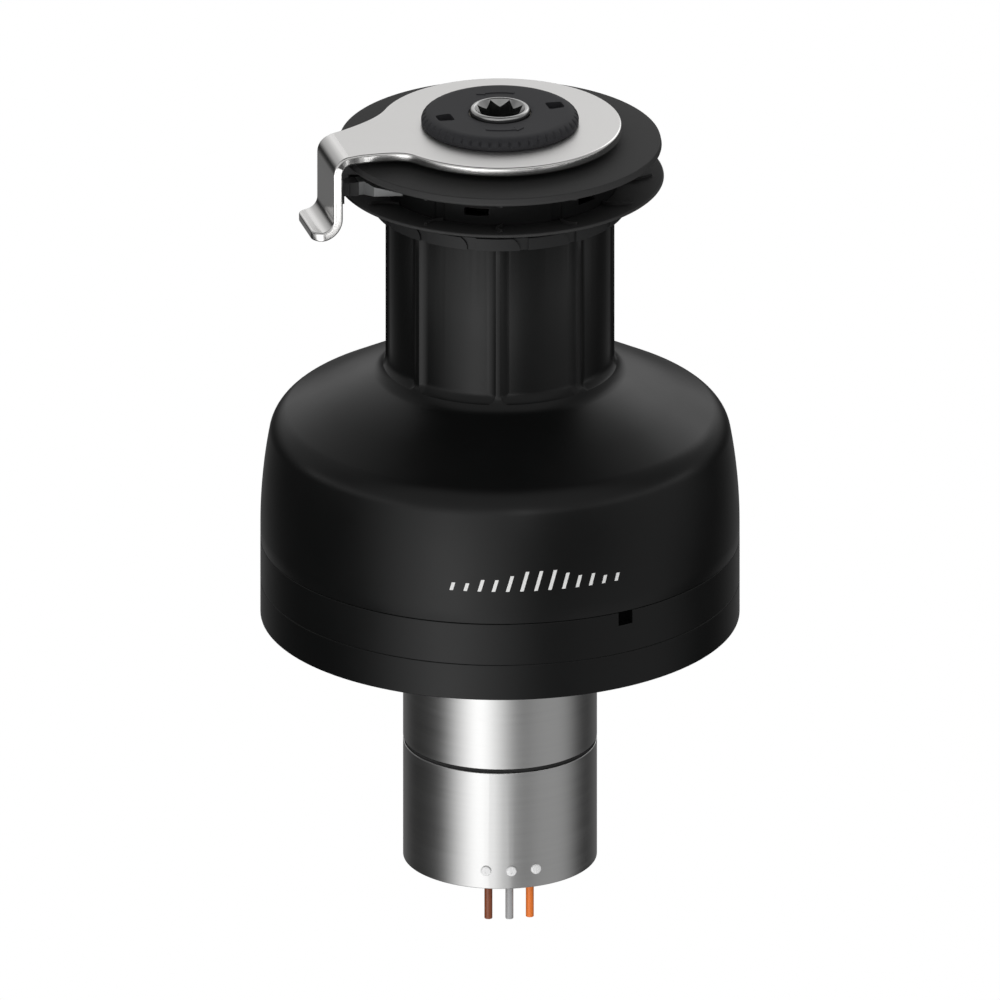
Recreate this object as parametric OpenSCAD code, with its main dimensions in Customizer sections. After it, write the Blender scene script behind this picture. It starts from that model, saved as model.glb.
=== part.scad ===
// Electric self-tailing deck winch. A ribbed drum and bell turn on a fixed stem,
// rope jaws and a feeder arm sit on top, and a geared motor hangs below the deck.
// The origin is the centre of the base's deck face, and the drum turns about +Z.

/* [Deck base] */
// Radius of the two base rings
base_r = 119.85; // [118:0.05:122]
// Height of the lower base ring
plate_h = 18.8; // [17.5:0.1:22]
// Height of the upper base ring
housing_h = 22; // [21:0.1:25]
// Wall of the base rings
base_wall = 8; // [6.5:0.5:8.5]
// Thickness of the base's floor and of its top
base_floor = 9; // [8:0.5:10]
// Distance of the circle of deck bolt holes in from the base's edge
deck_circle_inset = 15.85; // [15:0.05:17]
// Radius of a deck bolt hole
deck_hole_r = 4.25; // [3.5:0.25:5]
// Number of deck bolt holes
deck_hole_count = 6; // [5:1:6]
// Width of the drain notch in the upper ring's edge
notch_w = 7.6; // [6:0.2:9]
// Depth of the drain notch down from the edge
notch_h = 7; // [6:0.2:8]
// Angle of the drain notch, from the front towards +X
notch_angle = 31.6; // [25:0.2:35]

/* [Bell] */
// Gap between the turning bell and the base
seam_gap = 0.4; // [0.3:0.1:0.8]
// Wall of the bell
bell_wall = 8; // [7:0.5:8.5]
// Height of the straight foot of the bell
bell_foot_h = 7; // [5:0.5:9]
// Radius of the curve that draws the bell's side in
bell_side_r = 271; // [250:1:300]
// Radius of the bell's shoulder
shoulder_r = 17.5; // [15:0.5:19]
// Slope of the cone above the shoulder
cone_slope = 28; // [27:0.5:29]
// Slope where the cone turns up into the drum
neck_slope = 43; // [41:0.5:45]
// Radius of the hollow curve between those slopes
sweep_r = 122; // [115:1:126]
// Radius of the fillet at the foot of the drum
foot_fillet = 21.2; // [20:0.2:23]
// Height at which that fillet meets the drum wall
foot_z = 152.1; // [150:0.1:154]

/* [Drum] */
// Radius over the drum's ribs
drum_r = 57.25; // [56.5:0.05:58.5]
// Height of the drum's top face
drum_top_z = 219.3; // [217:0.1:224]
// Number of ribs
rib_count = 8; // [6:1:9]
// How far a rib stands proud of the panels
rib_h = 1.75; // [1.2:0.05:2.2]
// Width of a rib's crest
rib_crest = 2; // [1.4:0.2:3]
// Radius of the scooped panel edges and feet
scoop_r = 7; // [6:0.25:8]
// Running gap between a turning piece and its neighbour
run_gap = 0.3; // [0.2:0.05:0.4]

/* [Rope jaws] */
// Radius of the notched jaw carrier
carrier_r = 63.5; // [63:0.1:64.5]
// Height of the carrier's notched ring
carrier_h = 6.3; // [6:0.1:7]
// Number of notches round the carrier
carrier_notches = 15; // [12:1:18]
// Radius of the core wall between the jaws
core_r = 58.5; // [58.2:0.1:58.8]
// Height of the core wall above the carrier ring
core_h = 18.4; // [18:0.1:20]
// Rim radius of the lower jaw
lower_jaw_r = 82; // [80:0.1:83]
// Rim radius of the upper jaw
upper_jaw_r = 81; // [79:0.1:82]
// Travel of the sprung lower jaw
jaw_travel = 3.5; // [3:0.1:3.8]
// Number of grip ribs on each jaw
grip_count = 12; // [9:1:14]
// Height of a grip rib
grip_h = 1.1; // [0.8:0.1:1.4]

/* [Feeder arm] */
// Radius of the arm's ring
arm_ring_r = 61; // [59:0.5:63]
// Thickness of the arm
arm_t = 4.8; // [4:0.1:5.2]
// Height of the open gap between the upper jaw and the arm
arm_gap = 3; // [2.6:0.1:3.6]
// Reach of the arm's hanging plate from the axis
arm_reach = 92.7; // [91.5:0.1:94]
// Heading of the arm
arm_heading = 194; // [190:1:198]
// Outer radius of the bend into the hanging plate
bend_r = 8.5; // [7.5:0.25:9.5]
// Inner radius of the hook at the plate's end
hook_r = 6.5; // [5.5:0.25:7.5]
// Height of the hook's bottom above the deck face
hook_z = 219.2; // [216:0.1:222]
// Level length of the hook's lip past its curve
hook_lip = 4; // [3:0.25:5]
// Section of the stripper's square block
stripper_block = 7; // [6:0.25:7.5]

/* [Cap and handle socket] */
// Radius of the knurled cap
cap_r = 39.5; // [38:0.25:41]
// Height of the cap
cap_h = 6.3; // [6:0.1:7.5]
// Number of knurls round the cap
knurl_count = 48; // [36:2:54]
// Outer radius of the handle socket
socket_r = 15; // [14.5:0.1:15.5]
// Width across the flats of the eight-point socket
socket_flats = 17.46; // [17:0.02:17.8]
// Depth of the handle socket
socket_depth = 38; // [34:0.5:40]
// Height of the socket above the cap
socket_rise = 2.2; // [1.6:0.1:3]

/* [Stem and shafts] */
// Radius of the stem's bearing column
stem_r = 40; // [39.5:0.1:40.5]
// Diameter of the drum bearing's rollers
roller_d = 8; // [7.5:0.1:8.2]
// Length of a roller
roller_h = 18; // [16:0.5:20]
// Rollers in each bearing
roller_count = 14; // [10:1:16]
// Radius of the main shaft
shaft_r = 11; // [10.5:0.1:11.5]
// Radial clearance of a turning shaft in its bearing
shaft_clear = 0.05; // [0.03:0.01:0.09]
// Radius of the three legs under the stem
leg_r = 11; // [10:0.25:12]
// Distance of the circle of legs in from the drum ring gear's pitch circle
leg_inset = 22; // [21:0.5:23]

/* [Drum gears] */
// Distance of the drum ring gear's pitch circle in from the bell's wall
ring_gear_inset = 21.85; // [21:0.05:23]
// Face width of those gears
drum_gear_w = 16; // [14:0.5:18]
// Backlash at the pitch circle
drum_lash = 0.5; // [0.4:0.05:0.6]

/* [Motor unit] */
// Outer radius of the motor cans
can_r = 48.5; // [48.1:0.1:49.5]
// Wall of the motor cans
can_wall = 3.5; // [3:0.1:3.9]
// Depth of the groove between the cans, below the deck face
groove_z = 65.9; // [64:0.1:68]
// Width of that groove
groove_w = 2; // [1.6:0.1:2.4]
// Depth of the lower can's rim below the deck face
can_depth = 130.2; // [128:0.1:134]
// Depth of the open recess inside the lower rim
rim_recess = 12.2; // [11.8:0.1:13]
// Module of the motor's planetary gears
motor_m = 1.5; // [1.495:0.005:1.505]
// Face width of those gears
motor_gear_w = 22; // [20:0.5:24]
// Backlash at their pitch circle
motor_lash = 0.4; // [0.3:0.05:0.45]
// Radius of the circle of phase wires
wire_circle_r = 40.2; // [39.9:0.05:40.3]
// Angle between neighbouring wires
wire_pitch = 15; // [14:0.25:16]

/* [Hidden] */
$fn = 96;
fit = 0.02;            // joint gap between fixed round pieces
tiny = 0.01;
over = 1;              // how far a cutter passes the face that it opens

// Tooth counts: drum ring, idlers and sun, then motor ring, planets and sun
ring_teeth = 72;
idler_teeth = 27;
sun_teeth = 18;
fixed_teeth = 48;
planet_teeth = 18;
pinion_teeth = 12;
seat_r = base_r - bell_wall;
ring_pitch_r = seat_r - ring_gear_inset;
drum_m = 2 * ring_pitch_r / ring_teeth;
idler_circle_r = drum_m * (sun_teeth + idler_teeth) / 2;
planet_circle_r = motor_m * (pinion_teeth + planet_teeth) / 2;

// Circles of the deck bolts and of the stem's legs
deck_circle_r = base_r - deck_circle_inset;
leg_circle_r = ring_pitch_r - leg_inset;
stem_flange_r = leg_circle_r + 16;

// Levels above the deck face
housing_z = plate_h + housing_h;
bell_z = housing_z + seam_gap;
gear_z = housing_z + 5.2;
ledge_z = gear_z + drum_gear_w;
flange_z = ledge_z + 4;
flange_h = 10;
thrust_h = 4;
hub_z = flange_z + flange_h + thrust_h + run_gap;
low_roller_z = hub_z + 4;
top_roller_z = drum_top_z - 13 - roller_h;
stem_top_z = drum_top_z - 7.3;
room_h = 20;
room_z = stem_top_z - room_h;
carrier_top_z = drum_top_z + carrier_h;
pocket_z = carrier_top_z - 3.2;
core_top_z = carrier_top_z + core_h;
jaw_foot_z = carrier_top_z + 2;
jaw_root_z = core_top_z - 12.7;
jaw_dish = 4.2;
upper_hub_h = 11.2;
arm_z = core_top_z + upper_hub_h + arm_gap;
cap_z = arm_z + arm_t;
cap_top_z = cap_z + cap_h;
socket_top_z = cap_top_z + socket_rise;
socket_floor_z = socket_top_z - socket_depth;

// Radii inside the drum
bore_r = stem_r + roller_d + 0.2;
roller_circle_r = stem_r + 0.1 + roller_d / 2;
hub_r = bore_r + 7;
panel_r = drum_r - rib_h;
scoop_z = foot_z - 8.5;
scoop_circle_r = panel_r + scoop_r;
rib_offset = rib_crest / 2 + sqrt(pow(scoop_r, 2) - pow(scoop_r - rib_h, 2));
rib_half_angle = atan(rib_offset / scoop_circle_r);
rib_pitch = 360 / rib_count;
rib_phase = -91;       // a rib faces almost straight to the front
ledge_r = ring_pitch_r + 6;
ring_gear_r = seat_r - 4.85;
drum_screw_r = (bore_r + panel_r) / 2;
gear_screw_r = (ledge_r + ring_gear_r) / 2;
jaw_screw_r = core_r - 6;

// Stem head, cap seat and handle shaft
head_r = 31;
head_bore_r = 20.6;
neck_r = 24;
neck_top_z = cap_z + cap_h - 1.3;
pawl_disc_r = 20;
pawl_pivot_r = 14;
pawl_boss_r = 4;
pawl_coil_r = 2.9;
pawl_z = room_z + 7;
pawl_h = 10.4;
cup_r = 29.5;
tooth_root_r = cup_r - 3;
tooth_tip_r = tooth_root_r - 3.9;
cup_z = room_z + 2;
head_screw_r = (cup_r + 1 + stem_r) / 2;

// Bosses round the base screws
boss_r = 9.5;

// Bearings of the main shaft and of the motor
low_bearing_r = shaft_r + 9;
low_bearing_z = housing_z - 14;
top_bearing_r = shaft_r + 8;
top_bearing_h = 10;
motor_bearing_r = 13;

// Levels of the motor unit, below the deck face
can_bore_r = can_r - can_wall;
case_flange_r = 62;
case_flange_h = 6;
carrier_z = -18;
carrier_disc_h = 10;
planet_z = carrier_z - 2 - motor_gear_w;
motor_flange_h = 13.9;
motor_flange_z = -groove_z - 8.1;
end_cap_h = 10;
end_cap_z = rim_recess - can_depth;
phase_screw_z = end_cap_z - 2.5;
motor_axle_r = 6;
pinion_bore_r = 5;
stack_z0 = end_cap_z + end_cap_h + 4;
stack_z1 = motor_flange_z - 4;
stack_h = stack_z1 - stack_z0;
yoke_r = can_bore_r - 8;
stator_foot_r = 28;
rotor_core_r = stator_foot_r - 6.5;
pole_w = 6;
coil_r = stator_foot_r + 0.8;
coil_w = 10.8;
coil_end_h = 2.4;
grommet_r = 2.9;
phase_angles = [-8.3, -8.3 + wire_pitch, -8.3 + 2 * wire_pitch];

// Routes of the three phase wires, straight down out of the end cap
wire_r = 2;
wire_drops = [0, 2, 4, 6, 8, 10, 12, 14, 16, 18, 20, 22, 24, 26, 28, 31.1];
brown_route = [for (d = wire_drops) [-5.8, -39.8, end_cap_z - d]];
grey_route = [for (d = wire_drops) [4.7, -39.9, end_cap_z - d]];
orange_route = [for (d = wire_drops) [14.9, -37.3, end_cap_z - d]];

function polar(r, a) = r * [cos(a), sin(a)];

// Returns the points of an arc from angle a0 to a1 in n steps
function arc(c, r, a0, a1, n) = [for (i = [0:n]) c + polar(r, a0 + (a1 - a0) * i / n)];

// The same arc without its first point, to follow on from another
function arc_on(c, r, a0, a1, n) = [for (i = [1:n]) c + polar(r, a0 + (a1 - a0) * i / n)];

// Returns n steps of a cubic curve through four control points
function curve(p, n) = [for (i = [0:n]) let (t = i / n, s = 1 - t)
    s * s * s * p[0] + 3 * s * s * t * p[1] + 3 * s * t * t * p[2] + t * t * t * p[3]];

// Involute function of a pressure angle, in degrees
function involute(a) = tan(a) * 180 / PI - a;

// Half the angle of a tooth at radius r, for n teeth of module m thinned by lash
function tooth_half(n, m, r, lash) = let (base = m * n / 2 * cos(20), a = r > base ? acos(base / r) : 0)
    90 / n - lash / (m * n) * 90 / PI + involute(20) - involute(a);

// Returns a gear's outline with a tooth centred on angle 0
function gear_points(n, m, root_r, tip_r, lash) = let (
        base = m * n / 2 * cos(20),
        low = max(root_r, base + tiny),
        radii = [root_r, low, (low + m * n / 2) / 2, m * n / 2, (tip_r + m * n / 2) / 2, tip_r])
    [for (k = [0:n - 1]) each concat(
        [for (r = radii) polar(r, 360 * k / n - tooth_half(n, m, r, lash))],
        [for (i = [5:-1:0]) polar(radii[i], 360 * k / n + tooth_half(n, m, radii[i], lash))])];

// An external spur gear with a bore
module spur_gear(n, m, width, bore, lash) {
    linear_extrude(width) difference() {
        polygon(gear_points(n, m, m * (n / 2 - 1.1), m * (n / 2 + 0.85), lash));
        circle(bore);
    }
}

// An internal gear with teeth inside and a round outside
module inner_gear(n, m, width, outer, lash) {
    linear_extrude(width) difference() {
        circle(outer);
        rotate(180 / n) polygon(gear_points(n, m, m * (n / 2 - 0.85), m * (n / 2 + 1.1), -lash));
    }
}

// Copies its children n times around the axis
module ring_of(n, phase = 0) {
    for (k = [0:n - 1]) rotate(phase + 360 * k / n) children();
}

// A tube from z0 to z1
module tube(r_in, r_out, z0, z1) {
    translate([0, 0, z0]) difference() {
        cylinder(r = r_out, h = z1 - z0);
        translate([0, 0, -over]) cylinder(r = r_in, h = z1 - z0 + 2 * over);
    }
}

// A socket-head screw pointing down, with the underside of its head at z0
module cap_screw(z0, head_r, head_h, shank_r, length, key_r) {
    translate([0, 0, z0]) difference() {
        union() {
            cylinder(r = head_r, h = head_h, $fn = 32);
            translate([0, 0, -length]) cylinder(r = shank_r, h = length + tiny, $fn = 32);
        }
        translate([0, 0, head_h * 0.45]) cylinder(r = key_r, h = head_h, $fn = 6);
    }
}

// Base

module base_plate() color("#1b1c1d") difference() {
    union() {
        tube(base_r - base_wall, base_r, 0, plate_h);
        tube(can_r + run_gap, base_r - base_wall / 2, 0, base_floor);
        ring_of(deck_hole_count, 180 / deck_hole_count)
            translate([deck_circle_r, 0, 0]) cylinder(r = boss_r, h = plate_h);
    }
    ring_of(deck_hole_count) translate([deck_circle_r, 0, -over])
        cylinder(r = deck_hole_r, h = base_floor + 2 * over, $fn = 48);
    ring_of(deck_hole_count, 180 / deck_hole_count) translate([deck_circle_r, 0, -over]) {
        cylinder(r = 5.5, h = over + 6.6, $fn = 48);
        cylinder(r = 3, h = plate_h + 2 * over, $fn = 48);
    }
    ring_of(6, 30) translate([case_flange_r - 6, 0, 3]) cylinder(r = 2.5, h = base_floor, $fn = 32);
}

module base_screws() color("#8a8c8e") ring_of(deck_hole_count, 180 / deck_hole_count)
    translate([deck_circle_r, 0, 6.6]) mirror([0, 0, 1]) cap_screw(0, 5.2, 6, 3 - fit, plate_h + 2, 2.6);

module base_housing() color("#1d1e1f") difference() {
    union() {
        tube(base_r - base_wall, base_r, plate_h, housing_z);
        tube(low_bearing_r, base_r - base_wall / 2, housing_z - base_floor, housing_z);
        tube(low_bearing_r, low_bearing_r + 8, low_bearing_z, housing_z - base_floor + 1);
        tube(shaft_r + 5, low_bearing_r + 8, low_bearing_z - 4, low_bearing_z);
        ring_of(deck_hole_count, 180 / deck_hole_count)
            translate([deck_circle_r, 0, plate_h]) rotate(180) cylinder(r = boss_r, h = housing_h - 1);
    }
    ring_of(deck_hole_count, 180 / deck_hole_count) translate([deck_circle_r, 0, plate_h - over])
        cylinder(r = 3, h = 13 + over, $fn = 48);
    ring_of(deck_hole_count) translate([deck_circle_r, 0, housing_z - base_floor - over])
        cylinder(r = deck_hole_r + 3, h = base_floor + 2 * over, $fn = 48);
    ring_of(3, 60) translate([leg_circle_r, 0, housing_z - base_floor - over])
        cylinder(r = 4, h = base_floor + 2 * over, $fn = 48);
    ring_of(3) translate([idler_circle_r, 0, housing_z - 6]) cylinder(r = 8, h = 6 + over, $fn = 48);
    rotate(notch_angle - 90) translate([base_r - base_wall / 2, -notch_w / 2, housing_z - notch_h])
        cube([base_wall, notch_w, notch_h + over]);
}

module drum_seal() color("#0c0c0c") rotate_extrude() polygon([
    [seat_r - 3.6, housing_z], [seat_r - 0.6, housing_z], [seat_r - 0.8, housing_z + 2],
    [seat_r - run_gap, housing_z + 4], [seat_r - 1.2, housing_z + 4], [seat_r - 3.6, housing_z + 1.6]]);

// Stem

module centre_stem() color("#9a9c9d") difference() {
    union() {
        tube(shaft_r + 3, stem_flange_r, flange_z, flange_z + flange_h);
        tube(shaft_r + 3, stem_r, flange_z + flange_h - over, stem_top_z);
        ring_of(3, 60) translate([leg_circle_r, 0, housing_z])
            cylinder(r = leg_r, h = flange_z - housing_z + over);
    }
    translate([0, 0, room_z]) cylinder(r = cup_r + 1, h = room_h + over);
    translate([0, 0, room_z - top_bearing_h]) cylinder(r = top_bearing_r, h = top_bearing_h + over);
    ring_of(3, 60) translate([leg_circle_r, 0, housing_z - over]) cylinder(r = 4, h = 17, $fn = 48);
    ring_of(3) translate([idler_circle_r, 0, flange_z - over]) cylinder(r = 6, h = flange_h - 2, $fn = 48);
    ring_of(4, 45) translate([head_screw_r, 0, stem_top_z - 12]) cylinder(r = 2, h = 12 + over, $fn = 32);
}

module stem_bolts() color("#8a8c8e") ring_of(3, 60)
    translate([leg_circle_r, 0, housing_z - base_floor]) mirror([0, 0, 1])
        cap_screw(0, 6.5, 7, 4 - fit, base_floor + 14, 3.2);

module idler_studs() color("#c2c4c6") ring_of(3) translate([idler_circle_r, 0, housing_z - 6]) {
    cylinder(r = 8 - fit, h = gear_z - 0.5 - housing_z + 6, $fn = 48);
    cylinder(r = 6 - fit, h = flange_z + 6 - housing_z + 6, $fn = 48);
}

module thrust_washer() color("#c9c5b8")
    tube(stem_r + fit, hub_r - 1, flange_z + flange_h, flange_z + flange_h + thrust_h);

module stem_head() color("#9a9c9d") difference() {
    union() {
        tube(head_bore_r, stem_r - 0.5, stem_top_z, stem_top_z + 6);
        tube(head_bore_r, head_r, stem_top_z, arm_z - 4.5);
        tube(head_bore_r, neck_r, stem_top_z, neck_top_z);
    }
    ring_of(4, 45) translate([head_screw_r, 0, stem_top_z - over])
        cylinder(r = 2, h = 6 + 2 * over, $fn = 32);
}

module stem_head_screws() color("#8a8c8e") ring_of(4, 45)
    translate([head_screw_r, 0, 0]) cap_screw(stem_top_z + 6, 3.5, 4, 2 - fit, 16, 1.7);

// A sealed ball bearing around a shaft, with its two shields set back
module bearing(axle_r, r_out, z0, h) {
    mid = (axle_r + r_out) / 2;
    difference() {
        tube(axle_r + shaft_clear, r_out - fit, z0, z0 + h);
        for (z = [z0 - over, z0 + h - 0.6]) tube(mid - 1.8, mid + 1.8, z, z + 0.6 + over);
    }
}

// The main shaft's two bearings and the motor's two
module ball_bearings() color("#b4b6b8") {
    bearing(shaft_r, low_bearing_r, low_bearing_z, 12);
    bearing(shaft_r, top_bearing_r, room_z - top_bearing_h, top_bearing_h);
    bearing(motor_axle_r, motor_bearing_r, end_cap_z + 1, 7);
    bearing(motor_axle_r, motor_bearing_r, motor_flange_z + 1, 8);
}

module bearing_spacer() color("#d8d4c6")
    tube(stem_r + fit, stem_r + 4, low_roller_z + roller_h + 2.5, top_roller_z - 2.5);

module handle_bush() color("#d8d4c6")
    tube(socket_r + shaft_clear, head_bore_r - fit, socket_floor_z + 2, neck_top_z - 1);

// Drum bearings

module rollers(z0) ring_of(roller_count) translate([roller_circle_r, 0, z0])
    cylinder(r = roller_d / 2 - 0.05, h = roller_h, $fn = 24);

module roller_cage(z0) difference() {
    tube(roller_circle_r - 1.6, roller_circle_r + 1.6, z0 - 2, z0 + roller_h + 2);
    ring_of(roller_count) translate([roller_circle_r - 5, -roller_d / 2 - 0.2, z0 - 0.2])
        cube([10, roller_d + 0.4, roller_h + 0.4]);
}

module bearing_rollers() color("#d4d6d8") {
    rollers(low_roller_z);
    rollers(top_roller_z);
}

module roller_cages() color("#6a5a3c") {
    roller_cage(low_roller_z);
    roller_cage(top_roller_z);
}

// Drum and bell

// Unit normal that points up and out of a surface falling at slope a
function up_normal(a) = [sin(a), cos(a)];

// Centres of the arcs that make the bell's outline
side_c = [base_r - bell_side_r, bell_z + bell_foot_h];
foot_c = [drum_r + foot_fillet, foot_z];
foot_end = foot_c - foot_fillet * up_normal(neck_slope);
sweep_c = foot_end + sweep_r * up_normal(neck_slope);
sweep_end = sweep_c - sweep_r * up_normal(cone_slope);
cone_dir = [cos(cone_slope), -sin(cone_slope)];
cone_off = sweep_end - shoulder_r * up_normal(cone_slope) - side_c;
cone_b = cone_off * cone_dir;
shoulder_c = side_c + cone_off
    + cone_dir * (sqrt(cone_b * cone_b - cone_off * cone_off + pow(bell_side_r - shoulder_r, 2)) - cone_b);
shoulder_a = atan2(shoulder_c[1] - side_c[1], shoulder_c[0] - side_c[0]);

// Returns the bell's outline from its foot up to the drum, drawn in by the given wall
function bell_line(wall) = concat(
    [[base_r - wall, bell_z]],
    arc(side_c, bell_side_r - wall, 0, shoulder_a, 6),
    arc_on(shoulder_c, shoulder_r - wall, shoulder_a, 90 - cone_slope, 8),
    arc(sweep_c, sweep_r + wall, 270 - cone_slope, 270 - neck_slope, 5),
    arc_on(foot_c, foot_fillet + wall, 270 - neck_slope, 180, 6));

inner_line = [for (p = bell_line(bell_wall)) if (p[0] > hub_r + 1) p];

// The hollow flank of a rib beside a panel, for the panel on the rib's left
module flank_cut() {
    a0 = rib_half_angle;
    translate([0, 0, scoop_z - 2]) linear_extrude(drum_top_z - scoop_z + 2 + over) polygon(concat(
        arc(polar(scoop_circle_r, a0), scoop_r, a0 - 125, a0 - 168, 4),
        [polar(panel_r + 0.08, a0 + 1)],
        [polar(scoop_circle_r + 3, a0 + 1), polar(scoop_circle_r + 3, a0 - 4)]));
}

// One panel between two ribs: a shallow cut with hollow flanks and a scooped foot
module panel_cut() {
    rotate(rib_half_angle) rotate_extrude(angle = rib_pitch - 2 * rib_half_angle) {
        translate([panel_r, scoop_z]) square([20, drum_top_z - scoop_z + over]);
        translate([scoop_circle_r, scoop_z]) circle(scoop_r, $fn = 48);
    }
    flank_cut();
    rotate(rib_pitch) mirror([0, 1, 0]) flank_cut();
}

module drum() color("#161718") difference() {
    union() {
        rotate_extrude() polygon(concat(
            bell_line(0),
            [[drum_r, drum_top_z], [bore_r, drum_top_z], [bore_r, hub_z], [hub_r, hub_z]],
            [[hub_r, inner_line[len(inner_line) - 1][1]]],
            [for (i = [len(inner_line) - 1:-1:0]) inner_line[i]]));
        tube(ledge_r, seat_r - 0.5, ledge_z, ledge_z + 8);
    }
    for (k = [0:rib_count - 1]) rotate(rib_phase + k * rib_pitch) panel_cut();
    ring_of(6, 30) translate([drum_screw_r, 0, drum_top_z - 10]) cylinder(r = 2, h = 10 + over, $fn = 32);
    ring_of(6) translate([gear_screw_r, 0, ledge_z - over]) cylinder(r = 2.5, h = 7, $fn = 32);
}

// A gap of this ring faces each idler
module drum_ring_gear() color("#a7a9ab") translate([0, 0, gear_z]) difference() {
    rotate(180 / ring_teeth) inner_gear(ring_teeth, drum_m, drum_gear_w, ring_gear_r, drum_lash);
    ring_of(6) translate([gear_screw_r, 0, -over]) {
        cylinder(r = 2.5, h = drum_gear_w + 2 * over, $fn = 32);
        cylinder(r = 4.4, h = 5 + over, $fn = 32);
    }
}

module ring_gear_screws() color("#8a8c8e") ring_of(6) translate([gear_screw_r, 0, gear_z + 5])
    mirror([0, 0, 1]) cap_screw(0, 4.3, 4.5, 2.5 - fit, drum_gear_w, 2.1);

// Rope jaws

// A notch of the carrier, with a curved ramp on one side
module carrier_notch() {
    w = 4.4;
    translate([carrier_r - 1.1, 0, 0]) rotate([90, 0, 90]) linear_extrude(3) polygon(concat(
        [[w / 2, drum_top_z - over], [w / 2, carrier_top_z + over], [-w / 2 - 3.4, carrier_top_z + over]],
        arc([-w / 2 - 6.4, carrier_top_z - carrier_h + 0.5], 6.4, 62, 0, 6),
        [[-w / 2, drum_top_z - over]]));
}

module jaw_carrier() color("#202122") difference() {
    union() {
        rotate_extrude() polygon([
            [bore_r - 3.5, drum_top_z], [carrier_r, drum_top_z], [carrier_r, carrier_top_z],
            [core_r + 3.1, carrier_top_z], [core_r + 3.1, pocket_z], [core_r, pocket_z],
            [core_r, core_top_z], [core_r - 2.5, core_top_z], [core_r - 2.5, pocket_z + 0.4],
            [bore_r - 3.5, pocket_z + 0.4]]);
        ring_of(6) translate([jaw_screw_r, 0, drum_top_z + 1])
            cylinder(r = 4, h = core_top_z - drum_top_z - 1, $fn = 48);
    }
    ring_of(carrier_notches, -103) carrier_notch();
    ring_of(6, 30) translate([drum_screw_r, 0, drum_top_z - over]) cylinder(r = 2, h = 10, $fn = 32);
    ring_of(6) translate([jaw_screw_r, 0, core_top_z - 9]) cylinder(r = 1.6, h = 9 + over, $fn = 32);
    ring_of(6, 18.3) rotate(-6.1) rotate_extrude(angle = 12.2)
        translate([core_r - 4, core_top_z - 8]) square([6, 4]);
    ring_of(6, 59) rotate(-3) rotate_extrude(angle = 6)
        translate([core_r - 1.3, pocket_z]) square([3, core_h + 2]);
}

module carrier_screws() color("#8a8c8e") ring_of(6, 30)
    translate([drum_screw_r, 0, 0]) cap_screw(pocket_z + 0.4, 3.6, 3, 2 - fit, 12, 1.6);

// A wave spring of eight waves under the lower jaw
module jaw_spring() color("#9fa2a5") {
    waves = 8;
    steps = 96;
    mid = (pocket_z + jaw_foot_z) / 2;
    swing = (jaw_foot_z - pocket_z) / 2 - 0.35;
    section = [[core_r + 0.6, -0.3], [core_r + 2.6, -0.3], [core_r + 2.6, 0.3], [core_r + 0.6, 0.3]];
    polyhedron(
        [for (i = [0:steps - 1]) let (a = 360 * i / steps) for (p = section)
            [p[0] * cos(a), p[0] * sin(a), mid + p[1] + swing * sin(waves * a)]],
        [for (i = [0:steps - 1]) for (j = [0:3])
            let (next = 4 * ((i + 1) % steps), k = (j + 1) % 4)
            each [[4 * i + j, 4 * i + k, next + k], [4 * i + j, next + k, next + j]]]);
}

// The curved plan shape of one grip rib
module grip_plan() intersection() {
    translate([core_r + 9, 15]) difference() {
        circle(17);
        circle(15.6);
    }
    translate([core_r + 0.8, -6]) square([17, 14]);
}

module lower_jaw() color("#222325") {
    rim_z = jaw_root_z + jaw_dish;
    under_z = carrier_top_z + jaw_travel + 0.6;
    rotate_extrude() polygon([
        [core_r + 0.3, jaw_foot_z], [core_r + 2.8, jaw_foot_z], [core_r + 2.8, under_z],
        [core_r + 6, under_z], [lower_jaw_r - 0.9, rim_z - 2], [lower_jaw_r, rim_z - 1.2],
        [lower_jaw_r, rim_z - 0.5], [lower_jaw_r - 0.6, rim_z], [core_r + 0.3, jaw_root_z]]);
    ring_of(6, 59) rotate(-2.6) rotate_extrude(angle = 5.2)
        translate([core_r - 1, jaw_foot_z]) square([2, jaw_root_z - jaw_foot_z]);
    intersection() {
        rotate_extrude() polygon([[core_r + 0.8, jaw_root_z - 0.5], [core_r + 16, jaw_root_z + 2],
            [core_r + 16, jaw_root_z + 2.75], [core_r + 0.8, jaw_root_z + 0.1 + grip_h]]);
        translate([0, 0, jaw_root_z - 2]) linear_extrude(10) ring_of(grip_count) grip_plan();
    }
}

module upper_jaw() color("#232426") difference() {
    union() {
        rotate_extrude() polygon(concat(
            [[bore_r - 2.2, core_top_z], [core_r, core_top_z], [upper_jaw_r - 0.6, core_top_z + 6.2],
             [upper_jaw_r, core_top_z + 7.4], [upper_jaw_r - 0.3, core_top_z + 8.6]],
            arc([arm_ring_r, core_top_z - 290], 300.8, 86.3, 90, 6),
            [[bore_r - 2.2, core_top_z + upper_hub_h]]));
        intersection() {
            rotate_extrude() polygon([[core_r + 0.8, core_top_z + 0.8], [core_r + 16, core_top_z + 5],
                [core_r + 16, core_top_z + 3.9], [core_r + 0.8, core_top_z + 0.2 - grip_h]]);
            translate([0, 0, core_top_z - 4]) linear_extrude(14) ring_of(grip_count) grip_plan();
        }
    }
    ring_of(6) translate([jaw_screw_r, 0, core_top_z - over]) {
        cylinder(r = 1.6, h = upper_hub_h + 2 * over, $fn = 32);
        translate([0, 0, over + 6]) cylinder(r = 3.2, h = upper_hub_h, $fn = 32);
    }
}

module jaw_screws() color("#8a8c8e") ring_of(6)
    translate([jaw_screw_r, 0, 0]) cap_screw(core_top_z + 6, 3, 3, 1.6 - fit, 13, 1.4);

// Shafts

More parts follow.
